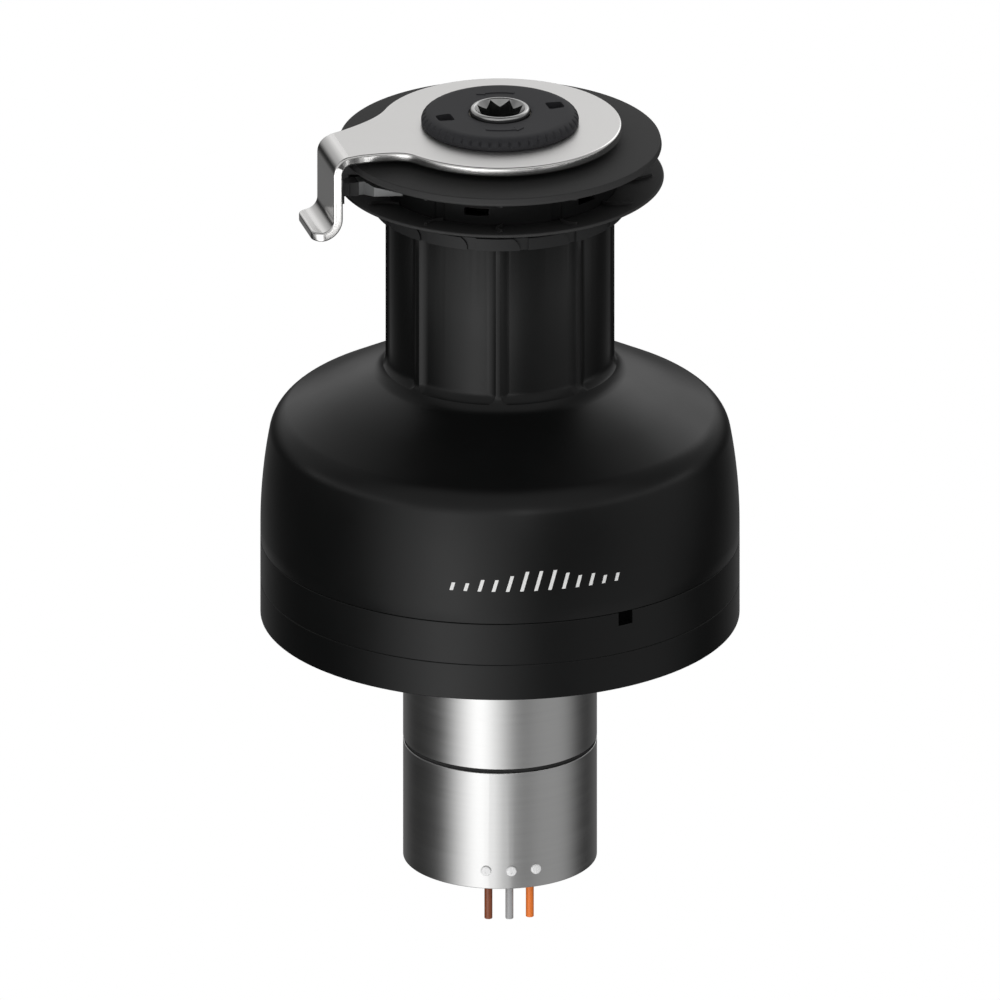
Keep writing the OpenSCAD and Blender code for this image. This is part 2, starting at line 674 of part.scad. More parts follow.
module main_shaft() color("#b9bbbd") difference() {
    union() {
        translate([0, 0, carrier_z]) cylinder(r = shaft_r, h = cup_z - carrier_z + 1);
        translate([0, 0, cup_z]) cylinder(r = cup_r, h = 4);
    }
    translate([0, 0, cup_z - 8]) cylinder(r = 6, h = 20);
}

module sun_gear() color("#a7a9ab") translate([0, 0, gear_z])
    spur_gear(sun_teeth, drum_m, drum_gear_w, shaft_r + fit, drum_lash);

// Each tooth space clears the tip of a pawl through its whole swing
module ratchet_ring() color("#a7a9ab") translate([0, 0, cup_z + 4])
    linear_extrude(pawl_h + 1.4) difference() {
        circle(cup_r);
        polygon([for (k = [0:11]) each [
            polar(tooth_tip_r, 30 * k),
            polar(tooth_root_r, 30 * k + 12),
            polar(tooth_root_r, 30 * k + 29.9)]]);
    }

// Plan shape of a pawl about its pivot, with clearance grown by g
module pawl_plan(g) {
    circle(r = pawl_boss_r + g, $fn = 48);
    polygon([
        [-pawl_boss_r - g, 0], [pawl_boss_r + g, 0], [3.2 + g, 17.5 + g],
        [1.3, 19.2 + g], [-1 - g, 17 + g]]);
}

module pawl() translate([pawl_pivot_r, 0, pawl_z]) difference() {
    linear_extrude(pawl_h - 0.8) pawl_plan(0);
    translate([0, 0, -over]) cylinder(r = pawl_coil_r + 0.15, h = over + 1.8, $fn = 48);
}

module pawl_1() color("#c2c4c6") pawl();
module pawl_2() color("#c2c4c6") rotate(180) pawl();

// A torsion spring under each pawl, with its leg along the pocket's floor
module pawl_springs() color("#d0d2d4") ring_of(2) translate([pawl_pivot_r, 0, pawl_z - 0.4]) {
    tube(pawl_coil_r - 1, pawl_coil_r, 0, 2);
    linear_extrude(0.3) polygon([[-2, 0.6], [-2.4, -0.4], [-7.6, 8.4], [-7, 8.8]]);
}

module handle_shaft() color("#c8cacc") difference() {
    union() {
        translate([0, 0, socket_floor_z - 4]) cylinder(r = socket_r, h = socket_depth + 4 - 0.8);
        translate([0, 0, socket_top_z - 0.8]) cylinder(r1 = socket_r, r2 = socket_r - 0.8, h = 0.8);
        translate([0, 0, pawl_z]) cylinder(r = 12, h = socket_floor_z - pawl_z - 3);
        translate([0, 0, pawl_z - 1]) cylinder(r = pawl_disc_r, h = pawl_h);
        translate([0, 0, cup_z - 5]) cylinder(r = 6 - fit, h = pawl_z - cup_z + 5);
    }
    translate([0, 0, socket_floor_z]) linear_extrude(socket_depth + over) for (a = [22.5, 67.5])
        rotate(a) square(socket_flats, center = true);
    ring_of(2) translate([pawl_pivot_r, 0, pawl_z - 0.4]) linear_extrude(pawl_h + 2) {
        pawl_plan(0.1);
        polygon([[-3.5, -1], [3.5, -1], [8, 8], [8, 24], [-10, 24], [-9.6, 12]]);
    }
}

// Idler gears

// An idler stands on its stud, with a gap between teeth facing the sun
module idler(k) rotate(120 * k) translate([idler_circle_r, 0, gear_z])
    rotate(180 + 180 / idler_teeth) spur_gear(idler_teeth, drum_m, drum_gear_w, 6 + shaft_clear, drum_lash);

module idler_gear_1() color("#8f9193") idler(0);
module idler_gear_2() color("#8f9193") idler(1);
module idler_gear_3() color("#8f9193") idler(2);

// Feeder arm and cap

// Half widths of the arm, across its heading
arm_w0 = -6.9;
arm_w1 = 28.6;
arm_tip = arm_reach + hook_r + hook_lip;
plate_u = arm_reach - bend_r + 2;
arm_span = arm_ring_r + 9;

// The arm's plan, with its outward direction along +X
module arm_plan() {
    circle(arm_ring_r);
    polygon(concat(
        curve([polar(arm_ring_r - 0.6, -34), [57.3, -23.4], [68, -15.5], [plate_u, arm_w0]], 10),
        [[arm_reach + 2, arm_w0]],
        arc([arm_tip - 5, arm_w0 + 5], 5, -90, 0, 5),
        arc([arm_tip - 4, arm_w1 - 4], 4, 0, 90, 5),
        [[arm_reach - 1, arm_w1]],
        curve([[plate_u, arm_w1 - 0.6], [arm_reach - 12, arm_w1 - 3], [80, 25.6], [76, 25.6]], 4),
        curve([[72, 25.6], [58.5, 25.6], [54.5, 28.2], polar(arm_ring_r - 0.6, 35)], 8)));
}

// The arm's side view: flat, bend, hanging plate and hook
module arm_side() {
    t = arm_t;
    top = arm_z + t;
    hook_c = [arm_reach + hook_r, hook_z + t + hook_r];
    polygon(concat(
        [[-arm_ring_r - 1, top], [-arm_ring_r - 1, arm_z]],
        arc([arm_reach - bend_r, top - bend_r], bend_r - t, 90, 0, 6),
        arc(hook_c, hook_r + t, 180, 270, 8),
        [[arm_tip + over, hook_z], [arm_tip + over, hook_z + t]],
        arc(hook_c, hook_r, 270, 180, 8),
        arc([arm_reach - bend_r, top - bend_r], bend_r, 0, 90, 8)));
}

module feeder_arm() color("#d9dbdd") rotate(arm_heading) difference() {
    intersection() {
        translate([0, 0, hook_z - over]) linear_extrude(arm_z + arm_t - hook_z + 2 * over) arm_plan();
        translate([0, arm_span, 0]) rotate([90, 0, 0]) linear_extrude(2 * arm_span) arm_side();
    }
    translate([0, 0, arm_z - over]) cylinder(r = neck_r + fit, h = arm_t + 2 * over);
    translate([arm_reach - arm_t - over, 11, core_top_z - 4]) rotate([0, 90, 0])
        cylinder(r = 1.5, h = 3.2 + over, $fn = 32);
}

module arm_spacer() color("#3a3b3c") tube(neck_r + fit, bore_r - 3, arm_z - 4.5, arm_z);

// The finger that peels the rope out of the jaws
module stripper() color("#8d8f90") rotate(arm_heading) {
    root_u = arm_reach - arm_t;
    low = core_top_z - 5.5;
    half = stripper_block / 2;
    difference() {
        union() {
            translate([root_u - 3, 3, core_top_z - 9]) cube([3, 16, 12]);
            translate([root_u - 14, 14 - half, low]) cube([12, stripper_block, stripper_block]);
        }
        translate([root_u - 15, 11, core_top_z - 4]) rotate([0, 90, 0]) cylinder(r = 1.5, h = 16, $fn = 32);
        translate([root_u - 15, 11, core_top_z - 4]) rotate([0, 90, 0]) cylinder(r = 2.6, h = 13, $fn = 32);
    }
    hull() {
        translate([root_u - 14.4, 14 - half, low]) cube([1, stripper_block, stripper_block]);
        translate([70, 20.5, low + 0.8]) cube([0.8, 3, 5]);
    }
    hull() {
        translate([70, 20.5, low + 0.8]) cube([0.8, 3, 5]);
        translate([57.6, 29.6, low + 2.6]) cube([0.6, 0.6, 1.2]);
    }
}

module stripper_screw() color("#8a8c8e") rotate(arm_heading)
    translate([arm_reach - arm_t - 2, 11, core_top_z - 4]) rotate([0, -90, 0])
        cap_screw(0, 2.4, 2, 1.5 - fit, 4.8, 1.2);

module top_cap() color("#242628") difference() {
    rotate_extrude() polygon([
        [neck_r + fit, cap_z], [cap_r - 1.2, cap_z], [cap_r, cap_z + 1.2], [cap_r, cap_z + 2.6],
        [cap_r - 1.8, cap_top_z - 0.9], [cap_r - 3.4, cap_top_z], [socket_r + 2.4, cap_top_z],
        [socket_r + 0.7, cap_top_z - 0.5], [socket_r + 0.7, neck_top_z], [neck_r + fit, neck_top_z]]);
    ring_of(knurl_count) translate([cap_r + 0.5, 0, cap_z - over])
        cylinder(r = 1.3, h = cap_h + 2 * over, $fn = 16);
    for (p = [[-27.7, -8.4], [27.6, 8.4]])
        translate([p[0], p[1], cap_top_z - 3]) rotate(atan2(p[1], p[0]) + 90)
            linear_extrude(3 + over) polygon([[-4.2, -3], [4.2, -3], [5.2, 3.2], [-5.2, 3.2]]);
}

// Motor unit

module gear_case() color("#a9abad") difference() {
    union() {
        tube(can_bore_r, can_r, -groove_z, base_floor + 1);
        tube(can_bore_r, case_flange_r, base_floor, base_floor + case_flange_h);
    }
    ring_of(6, 30) translate([case_flange_r - 6, 0, base_floor - over])
        cylinder(r = 2.5, h = case_flange_h + 2 * over, $fn = 32);
}

module gear_case_screws() color("#8a8c8e") ring_of(6, 30) translate([case_flange_r - 6, 0, 0])
    cap_screw(base_floor + case_flange_h, 4.2, 4, 2.5 - fit, case_flange_h + 5.5, 2.1);

module planet_ring() color("#8f9193") translate([0, 0, planet_z])
    inner_gear(fixed_teeth, motor_m, motor_gear_w, can_bore_r - fit, motor_lash);

module planet_carrier() color("#9a9c9d") difference() {
    tube(shaft_r + fit, planet_circle_r + 8.5, carrier_z, carrier_z + carrier_disc_h);
    ring_of(3) translate([planet_circle_r, 0, carrier_z - over])
        cylinder(r = 4, h = carrier_disc_h + 2 * over, $fn = 48);
}

module planet_pins() color("#c2c4c6") ring_of(3) translate([planet_circle_r, 0, planet_z - 2.5]) {
    cylinder(r = 4 - fit, h = carrier_z + carrier_disc_h - planet_z + 2.5, $fn = 48);
    cylinder(r = 6, h = 2, $fn = 48);
}

// A gap of each planet faces the fixed ring, and another the pinion
module planet_gear(k) rotate(120 * k) translate([planet_circle_r, 0, planet_z]) rotate(180 / planet_teeth)
    spur_gear(planet_teeth, motor_m, motor_gear_w, 4 + shaft_clear, motor_lash);

module planet_gear_1() color("#b4b6b8") planet_gear(0);
module planet_gear_2() color("#b4b6b8") planet_gear(1);
module planet_gear_3() color("#b4b6b8") planet_gear(2);

module motor_flange() color("#8f9193") difference() {
    tube(motor_axle_r + 2, can_bore_r - fit, motor_flange_z, motor_flange_z + motor_flange_h);
    translate([0, 0, motor_flange_z - over]) cylinder(r = motor_bearing_r, h = 9 + over);
}

module can_seal() color("#0b0b0b") tube(can_bore_r, can_r - 0.7, -groove_z - groove_w, -groove_z);

module motor_can() color("#a9abad") difference() {
    tube(can_bore_r, can_r, -can_depth, -groove_z - groove_w);
    translate([0, 0, 2.4 - can_depth]) cylinder(r = can_bore_r + 1, h = 1.4);
    for (a = phase_angles) rotate(a - 90) translate([can_bore_r - over, 0, phase_screw_z])
        rotate([0, 90, 0]) cylinder(r = 1.25, h = can_wall + 2 * over, $fn = 32);
}

// Twelve stator teeth inside the yoke, each with a wider foot towards the rotor
module stator_core() color("#55585b") translate([0, 0, stack_z0]) linear_extrude(stack_h) {
    difference() {
        circle(can_bore_r - fit);
        circle(yoke_r);
    }
    ring_of(12) translate([stator_foot_r - 1, -pole_w / 2]) square([yoke_r + 2 - stator_foot_r, pole_w]);
    ring_of(12) intersection() {
        difference() {
            circle(stator_foot_r + 0.4);
            circle(stator_foot_r - 2);
        }
        polygon([[0, 0], polar(can_bore_r, -11.5), polar(can_bore_r, 11.5)]);
    }
}

module stator_coils() color("#a8622d") ring_of(12) difference() {
    translate([coil_r, -coil_w / 2, stack_z0 - coil_end_h])
        cube([yoke_r - 0.4 - coil_r, coil_w, stack_h + 2 * coil_end_h]);
    translate([coil_r - 1, -pole_w / 2 - fit, stack_z0 - fit])
        cube([yoke_r - coil_r + 2, pole_w + 2 * fit, stack_h + 2 * fit]);
    for (s = [-1, 1]) rotate(15 * s)
        translate([coil_r - 8, s > 0 ? -0.2 : -coil_w, stack_z0 - coil_end_h - over])
        cube([can_bore_r, coil_w + 0.2, stack_h + 2 * coil_end_h + 2 * over]);
}

// Rotor: axle, laminated core, eight magnets and the motor pinion on its end
module rotor() color("#6d7073") {
    translate([0, 0, end_cap_z + 1.5]) cylinder(r = motor_axle_r, h = planet_z - 3 - end_cap_z - 1.5);
    translate([0, 0, planet_z - 4]) cylinder(r = pinion_bore_r, h = carrier_z - planet_z + 3);
    translate([0, 0, planet_z - 0.5])
        spur_gear(pinion_teeth, motor_m, motor_gear_w + 1, pinion_bore_r - tiny, motor_lash);
    translate([0, 0, stack_z0]) cylinder(r = rotor_core_r, h = stack_h);
    ring_of(8) rotate(-19) rotate_extrude(angle = 38)
        translate([rotor_core_r - 0.5, stack_z0 + 1]) square([4.2, stack_h - 2]);
}

module end_cap() color("#2b2d2f") difference() {
    union() {
        translate([0, 0, end_cap_z]) cylinder(r = can_bore_r - fit, h = end_cap_h);
        translate([0, 0, 3.8 - can_depth])
            cylinder(r = can_bore_r - fit, h = end_cap_z + can_depth - 3.8 + tiny);
    }
    translate([0, 0, -can_depth]) cylinder(r = can_bore_r - 1.7, h = end_cap_z + can_depth);
    translate([0, 0, end_cap_z + 1]) cylinder(r = motor_bearing_r, h = end_cap_h);
    for (a = phase_angles) rotate(a - 90) {
        translate([wire_circle_r, 0, end_cap_z - over])
            cylinder(r = grommet_r, h = end_cap_h + 2 * over, $fn = 48);
        translate([can_bore_r - 3, 0, phase_screw_z]) rotate([0, 90, 0])
            cylinder(r = 1.25, h = 4, $fn = 32);
    }
}

// The ring that keeps the end cap in the lower can
module cap_ring() color("#5a5c5e")
    tube(can_bore_r - 2, can_bore_r + 1 - fit, 2.4 - can_depth + fit, 3.8 - can_depth - fit);

module wire_grommets() color("#0d0d0d") for (a = phase_angles) rotate(a - 90)
    translate([wire_circle_r, 0, end_cap_z]) cylinder(r = grommet_r - fit, h = end_cap_h, $fn = 48);

module phase_screws() color("#e4e5e6") for (a = phase_angles) rotate(a - 90)
    translate([can_bore_r - 1.6, 0, phase_screw_z]) rotate([0, 90, 0]) {
        cylinder(r = 1.25 - fit, h = can_wall + 1.7, $fn = 32);
        translate([0, 0, can_wall + 1.6]) cylinder(r1 = 2.5, r2 = 1.9, h = 1.4, $fn = 32);
    }

// Wires

// A ten-sided tube that follows a vertical route
module wire(route) {
    sides = 10;
    last = len(route) - 1;
    polyhedron(
        [for (p = route) for (j = [0:sides - 1]) p + [wire_r * cos(36 * j), wire_r * sin(36 * j), 0]],
        concat(
            [[for (j = [0:sides - 1]) j]],
            [for (i = [0:last - 1]) for (j = [0:sides - 1]) let (k = (j + 1) % sides)
                [i * sides + j, (i + 1) * sides + j, (i + 1) * sides + k, i * sides + k]],
            [[for (j = [sides - 1:-1:0]) last * sides + j]]));
}

module brown_wire() color("#6b3a1f") wire(brown_route);
module grey_wire() color("#8d8f90") wire(grey_route);
module orange_wire() color("#e87420") wire(orange_route);

base_plate();
base_housing();
base_screws();
drum_seal();
centre_stem();
stem_bolts();
idler_studs();
thrust_washer();
stem_head();
stem_head_screws();
ball_bearings();
bearing_spacer();
handle_bush();
drum();
drum_ring_gear();
ring_gear_screws();
jaw_carrier();
carrier_screws();
jaw_spring();
lower_jaw();
upper_jaw();
jaw_screws();
bearing_rollers();
roller_cages();
main_shaft();
sun_gear();
ratchet_ring();
handle_shaft();
planet_carrier();
planet_pins();
idler_gear_1();
idler_gear_2();
idler_gear_3();
pawl_1();
pawl_2();
pawl_springs();
arm_spacer();
feeder_arm();
stripper();
stripper_screw();
top_cap();
gear_case();
gear_case_screws();
planet_ring();
planet_gear_1();
planet_gear_2();
planet_gear_3();
motor_flange();
can_seal();
motor_can();
stator_core();
stator_coils();
rotor();
end_cap();
cap_ring();
wire_grommets();
phase_screws();
brown_wire();
grey_wire();
orange_wire();
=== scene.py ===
"""The looks of an electric self-tailing deck winch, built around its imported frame."""

from __future__ import annotations

import logging
import math
from collections.abc import Callable
from dataclasses import dataclass, field
from enum import Enum

import bmesh
import bpy
from mathutils import Matrix, Vector


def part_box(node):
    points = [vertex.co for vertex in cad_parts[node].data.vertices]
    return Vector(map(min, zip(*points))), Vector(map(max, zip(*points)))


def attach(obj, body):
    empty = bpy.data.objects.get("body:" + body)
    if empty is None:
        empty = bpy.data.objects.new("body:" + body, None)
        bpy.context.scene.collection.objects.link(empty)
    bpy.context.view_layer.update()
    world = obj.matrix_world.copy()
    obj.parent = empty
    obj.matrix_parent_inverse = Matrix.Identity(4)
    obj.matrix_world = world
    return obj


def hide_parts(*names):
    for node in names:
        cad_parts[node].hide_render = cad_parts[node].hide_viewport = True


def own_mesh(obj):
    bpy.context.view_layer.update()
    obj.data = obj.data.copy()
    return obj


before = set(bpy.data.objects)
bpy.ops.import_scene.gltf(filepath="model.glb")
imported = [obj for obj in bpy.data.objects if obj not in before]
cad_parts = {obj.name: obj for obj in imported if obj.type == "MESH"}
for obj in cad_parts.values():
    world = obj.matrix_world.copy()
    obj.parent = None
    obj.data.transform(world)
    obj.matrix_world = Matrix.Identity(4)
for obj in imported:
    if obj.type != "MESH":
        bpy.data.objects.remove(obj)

LOG = logging.getLogger("winch")
MM = 0.001
WELD = 2e-6
METRES_PER_RADIAN = 0.0016
DRAWN_SCALE = (0.03, 1.0, 1.0)
Point = tuple[float, float]
Mesh = bmesh.types.BMesh
Vert = bmesh.types.BMVert
Edge = bmesh.types.BMEdge
Face = bmesh.types.BMFace
Tree = bpy.types.NodeTree
Node = bpy.types.Node
Socket = bpy.types.NodeSocket


# Shader groups


class Group(Enum):
    """The shader groups that the finishes share."""

    GRAIN = "fine_grain"
    TURNED = "turned_lines"
    DRAWN = "drawn_lines"


def add_socket(group: Tree, name: str, side: str, kind: str, value: float | None = None) -> None:
    """Adds a named input or output to a shader group.

    Args:
        group: The group's node tree.
        name: The socket's name.
        side: INPUT or OUTPUT.
        kind: The socket's type.
        value: The default of an input.
    """
    made = group.interface.new_socket(name=name, in_out=side, socket_type=kind)
    if value is not None:
        made.default_value = value


def group_shell(kind: Group) -> tuple[Tree, Node, Node]:
    """Makes a shader group with its sockets and its two end nodes.

    Args:
        kind: Which group it is.

    Returns:
        The node tree, its input node and its output node.
    """
    tree = bpy.data.node_groups.new(kind.value, "ShaderNodeTree")
    add_socket(tree, "Vector", "INPUT", "NodeSocketVector")
    add_socket(tree, "Scale", "INPUT", "NodeSocketFloat", 1.0)
    add_socket(tree, "Height", "OUTPUT", "NodeSocketFloat")
    add_socket(tree, "Tone", "OUTPUT", "NodeSocketFloat")
    return tree, tree.nodes.new("NodeGroupInput"), tree.nodes.new("NodeGroupOutput")


def calculated(tree: Tree, operation: str, *values: Socket | float) -> Socket:
    """Adds a node that works out one number.

    Args:
        tree: The node tree that the node goes in.
        operation: What the node does.
        values: Its inputs in their order, each a socket to link or a plain number.

    Returns:
        The result's socket.
    """
    node = tree.nodes.new("ShaderNodeMath")
    node.operation = operation
    for place, value in zip(node.inputs, values):
        if isinstance(value, Socket):
            tree.links.new(value, place)
        else:
            place.default_value = value
    return node.outputs[0]


def scaled(tree: Tree, vector: Socket, scale: Socket) -> Socket:
    """Adds a node that multiplies a vector by a number.

    Args:
        tree: The node tree that the node goes in.
        vector: The socket that gives the vector.
        scale: The socket that gives the number.

    Returns:
        The result's socket.
    """
    node = tree.nodes.new("ShaderNodeVectorMath")
    node.operation = "SCALE"
    tree.links.new(vector, node.inputs[0])
    tree.links.new(scale, node.inputs["Scale"])
    return node.outputs[0]


def add_noises(tree: Tree, place: Socket, end: Node, fine: Point, broad: Point) -> None:
    """Gives a shader group its fine noise, for the relief, and its broad one, for the tone.

    Args:
        tree: The group's node tree.
        place: The socket that gives the place on the surface.
        end: The group's output node.
        fine: Scale and detail of the fine noise.
        broad: Scale and detail of the broad noise.
    """
    for (scale, detail), output in ((fine, "Height"), (broad, "Tone")):
        node = tree.nodes.new("ShaderNodeTexNoise")
        node.inputs["Scale"].default_value = scale
        node.inputs["Detail"].default_value = detail
        tree.links.new(place, node.inputs["Vector"])
        tree.links.new(node.outputs["Fac"], end.inputs[output])


def make_grain() -> Tree:
    """Builds the group for the fine texture of blasted, anodised and moulded surfaces.

    Returns:
        The group's node tree.
    """
    tree, start, end = group_shell(Group.GRAIN)
    place = scaled(tree, start.outputs["Vector"], start.outputs["Scale"])
    add_noises(tree, place, end, (1800.0, 3.0), (38.0, 2.0))
    return tree


def make_turned() -> Tree:
    """Builds the group for the fine lines that a lathe leaves round the Z axis.

    Returns:
        The group's node tree.
    """
    tree, start, end = group_shell(Group.TURNED)
    split = tree.nodes.new("ShaderNodeSeparateXYZ")
    tree.links.new(start.outputs["Vector"], split.inputs[0])
    turn = calculated(tree, "ARCTAN2", split.outputs["Y"], split.outputs["X"])
    slow = calculated(tree, "MULTIPLY", turn, METRES_PER_RADIAN)
    unrolled = tree.nodes.new("ShaderNodeCombineXYZ")
    tree.links.new(slow, unrolled.inputs["X"])
    tree.links.new(split.outputs["Z"], unrolled.inputs["Z"])
    place = scaled(tree, unrolled.outputs[0], start.outputs["Scale"])
    add_noises(tree, place, end, (5200.0, 4.0), (420.0, 3.0))
    return tree


def make_drawn() -> Tree:
    """Builds the group for the faint lines of a polished plate, along its X direction.

    Returns:
        The group's node tree.
    """
    tree, start, end = group_shell(Group.DRAWN)
    drawn_out = tree.nodes.new("ShaderNodeMapping")
    drawn_out.inputs["Scale"].default_value = DRAWN_SCALE
    tree.links.new(start.outputs["Vector"], drawn_out.inputs["Vector"])
    place = scaled(tree, drawn_out.outputs[0], start.outputs["Scale"])
    add_noises(tree, place, end, (2600.0, 4.0), (160.0, 2.0))
    return tree


GROUP_MAKERS = {Group.GRAIN: make_grain, Group.TURNED: make_turned, Group.DRAWN: make_drawn}


# Finishes


@dataclass(frozen=True)
class Finish:
    """One surface finish: its colour, gloss and fine relief."""

    name: str
    slot: str
    color: tuple[float, float, float]
    roughness: float
    metallic: float = 0.0
    group: Group = Group.GRAIN
    scale: float = 1.0
    relief: float = 0.15
    depth: float = 0.00002
    tint: float = 0.12
    gloss_spread: float = 0.05
    anisotropy: float = 0.0
    specular: float = 0.5

    def material(self) -> bpy.types.Material:
        """Returns the finish's material, built on its first use."""
        known = bpy.data.materials.get(self.name)
        return known if known else self.build()

    def build(self) -> bpy.types.Material:
        """Builds the material's nodes.

        Returns:
            The new material.
        """
        made = bpy.data.materials.new(self.name)
        made.use_nodes = True
        tree = made.node_tree
        shader = tree.nodes["Principled BSDF"]
        shader.inputs["Metallic"].default_value = self.metallic
        shader.inputs["Anisotropic"].default_value = self.anisotropy
        shader.inputs["Specular IOR Level"].default_value = self.specular
        made.diffuse_color = (*self.color, 1.0)
        place = tree.nodes.new("ShaderNodeTexCoord")
        pattern = tree.nodes.new("ShaderNodeGroup")
        pattern.node_tree = bpy.data.node_groups.get(self.group.value) or GROUP_MAKERS[self.group]()
        pattern.inputs["Scale"].default_value = self.scale
        tree.links.new(place.outputs["Object"], pattern.inputs["Vector"])
        self.link_color(tree, pattern, shader)
        spread = tree.nodes.new("ShaderNodeMapRange")
        spread.inputs["To Min"].default_value = max(self.roughness - self.gloss_spread, 0.02)
        spread.inputs["To Max"].default_value = self.roughness + self.gloss_spread
        tree.links.new(pattern.outputs["Tone"], spread.inputs["Value"])
        tree.links.new(spread.outputs["Result"], shader.inputs["Roughness"])
        bump = tree.nodes.new("ShaderNodeBump")
        bump.inputs["Strength"].default_value = self.relief
        bump.inputs["Distance"].default_value = self.depth
        tree.links.new(pattern.outputs["Height"], bump.inputs["Height"])
        tree.links.new(bump.outputs["Normal"], shader.inputs["Normal"])
        return made

    def link_color(self, tree: Tree, pattern: Node, shader: Node) -> None:
        """Lets the base colour vary a little around the finish's own.

        Args:
            tree: The material's node tree.
            pattern: The node that gives the tone.
            shader: The material's shader.
        """
        mix = tree.nodes.new("ShaderNodeMix")
        mix.data_type = "RGBA"
        dark = [c * (1.0 - self.tint) for c in self.color]
        light = [min(c * (1.0 + self.tint), 1.0) for c in self.color]
        mix.inputs["A"].default_value = (*dark, 1.0)
        mix.inputs["B"].default_value = (*light, 1.0)
        tree.links.new(pattern.outputs["Tone"], mix.inputs["Factor"])
        tree.links.new(mix.outputs["Result"], shader.inputs["Base Color"])


CAST_BLACK = Finish("satin_black_casting", "drum_black", (0.0045, 0.0047, 0.0047), 0.32,
                    relief=0.08, specular=0.22)
BASE_BLACK = Finish("satin_black_base", "black_paint", (0.0045, 0.0047, 0.0047), 0.33,
                    relief=0.08, specular=0.22)
# Near-black and matt: painted shade on the walls of the base's drain notch, a recess.
NOTCH_PAINTED_SHADE = Finish("notch_painted_shade", "black_paint", (0.0008, 0.0008, 0.0008), 0.85, relief=0.02, specular=0.05)
PRINT_GREY = Finish("print_grey", "stripper_grey", (0.78, 0.78, 0.77), 0.45, relief=0.05)
JAW_GREY = Finish("jaw_plastic", "jaw_plastic", (0.062, 0.0625, 0.0632), 0.50, relief=0.22, scale=0.8)
# The jaw plastic again, made four times darker for the carrier under the jaws: painted shade.
CARRIER_PAINTED_SHADE = Finish("carrier_plastic_painted_shade", "jaw_plastic", (0.015, 0.0152, 0.0155), 0.50, relief=0.22, scale=0.8,
                      specular=0.22)
CAP_GREY = Finish("cap_plastic", "cap_plastic", (0.050, 0.0507, 0.0516), 0.48, relief=0.25, scale=0.8)
POLISHED = Finish("polished_stainless", "arm_stainless", (0.74, 0.732, 0.722), 0.18, 1.0, Group.DRAWN,
                  relief=0.05, depth=0.00001, tint=0.02, gloss_spread=0.03)
SATIN_FACE = Finish("satin_stainless", "arm_stainless", (0.74, 0.732, 0.722), 0.38, 1.0, Group.DRAWN,
                    relief=0.08, depth=0.00001, tint=0.02, gloss_spread=0.04)
SOCKET_METAL = Finish("satin_socket", "socket_chrome", (0.46, 0.457, 0.453), 0.24, 1.0, Group.TURNED,
                      relief=0.06, tint=0.03, gloss_spread=0.04)
CAN_METAL = Finish("turned_can", "can_metal", (0.50, 0.50, 0.497), 0.31, 1.0, Group.TURNED,
                   relief=0.22, depth=0.00002, tint=0.07, gloss_spread=0.05, anisotropy=0.4)
STRIPPER_GREY = Finish("stripper_plastic", "stripper_grey", (0.17, 0.174, 0.174), 0.34, relief=0.12)
SEAL_BLACK = Finish("seal_rubber", "seal_rubber", (0.010, 0.010, 0.010), 0.55, relief=0.2)
END_BLACK = Finish("end_cap_plastic", "cap_black", (0.020, 0.020, 0.021), 0.48, relief=0.2)
BRIGHT_SCREW = Finish("bright_screw", "screw_white", (0.93, 0.93, 0.93), 0.30, relief=0.03, tint=0.02)
STEEL = Finish("machined_steel", "steel", (0.42, 0.43, 0.44), 0.30, 1.0, Group.TURNED, relief=0.12)
GEAR_STEEL = Finish("gear_steel", "gear_steel", (0.33, 0.34, 0.35), 0.34, 1.0, Group.TURNED, relief=0.2)
ALLOY = Finish("machined_alloy", "cast_alloy", (0.55, 0.56, 0.57), 0.38, 1.0, Group.TURNED, relief=0.2)
ACETAL = Finish("natural_acetal", "acetal", (0.66, 0.63, 0.54), 0.45, relief=0.08)
IRON = Finish("laminated_iron", "core_iron", (0.10, 0.10, 0.105), 0.5, 0.9, Group.TURNED,
              scale=0.4, relief=0.5)
COPPER = Finish("copper_windings", "copper", (0.52, 0.20, 0.07), 0.32, 0.9, Group.TURNED,
                scale=0.12, relief=0.8)
WIRE_BROWN = Finish("brown_insulation", "wire_brown", (0.255, 0.069, 0.025), 0.42, relief=0.08)
WIRE_GREY = Finish("grey_insulation", "wire_grey", (0.430, 0.430, 0.434), 0.42, relief=0.08)
WIRE_ORANGE = Finish("orange_insulation", "wire_orange", (1.0, 0.222, 0.024), 0.42, relief=0.08)


# Mesh helpers


def arc(centre: Point, radius: float, start: float, end: float, steps: int) -> list[Point]:
    """Returns the points of an arc of a profile.

    Args:
        centre: The arc's centre.
        radius: Its radius.
        start: Its first angle, in degrees.
        end: Its last angle, in degrees.
        steps: How many chords it has.

    Returns:
        The arc's points, both ends among them.
    """
    angles = [math.radians(start + (end - start) * i / steps) for i in range(steps + 1)]
    return [(centre[0] + radius * math.cos(a), centre[1] + radius * math.sin(a)) for a in angles]


def on_circle(radius: float, angle: float) -> Point:
    """Returns the point at a distance from the axis and at an angle in degrees."""
    return radius * math.cos(math.radians(angle)), radius * math.sin(math.radians(angle))


def cubic(p: list[Point], steps: int) -> list[Point]:
    """Returns the points of a cubic curve.

    Args:
        p: Its four control points.
        steps: How many chords it has.

    Returns:
        The curve's points, both ends among them.
    """
    found = []
    for i in range(steps + 1):
        t = i / steps
        s = 1.0 - t
        w = (s * s * s, 3 * s * s * t, 3 * s * t * t, t * t * t)
        found.append((sum(a * q[0] for a, q in zip(w, p)), sum(a * q[1] for a, q in zip(w, p))))
    return found


def rise(slope: float) -> Vector:
    """Returns the direction, in a profile, that stands square on a slope in degrees."""
    return Vector((math.sin(math.radians(slope)), math.cos(math.radians(slope))))


def everything(bm: Mesh) -> list[Vert | Edge | Face]:
    """Returns all of a mesh's corners, edges and faces."""
    return [*bm.verts, *bm.edges, *bm.faces]


def is_level(edge: Edge) -> bool:
    """Tells whether an edge's two ends are at the same height."""
    return abs(edge.verts[0].co.z - edge.verts[1].co.z) < WELD


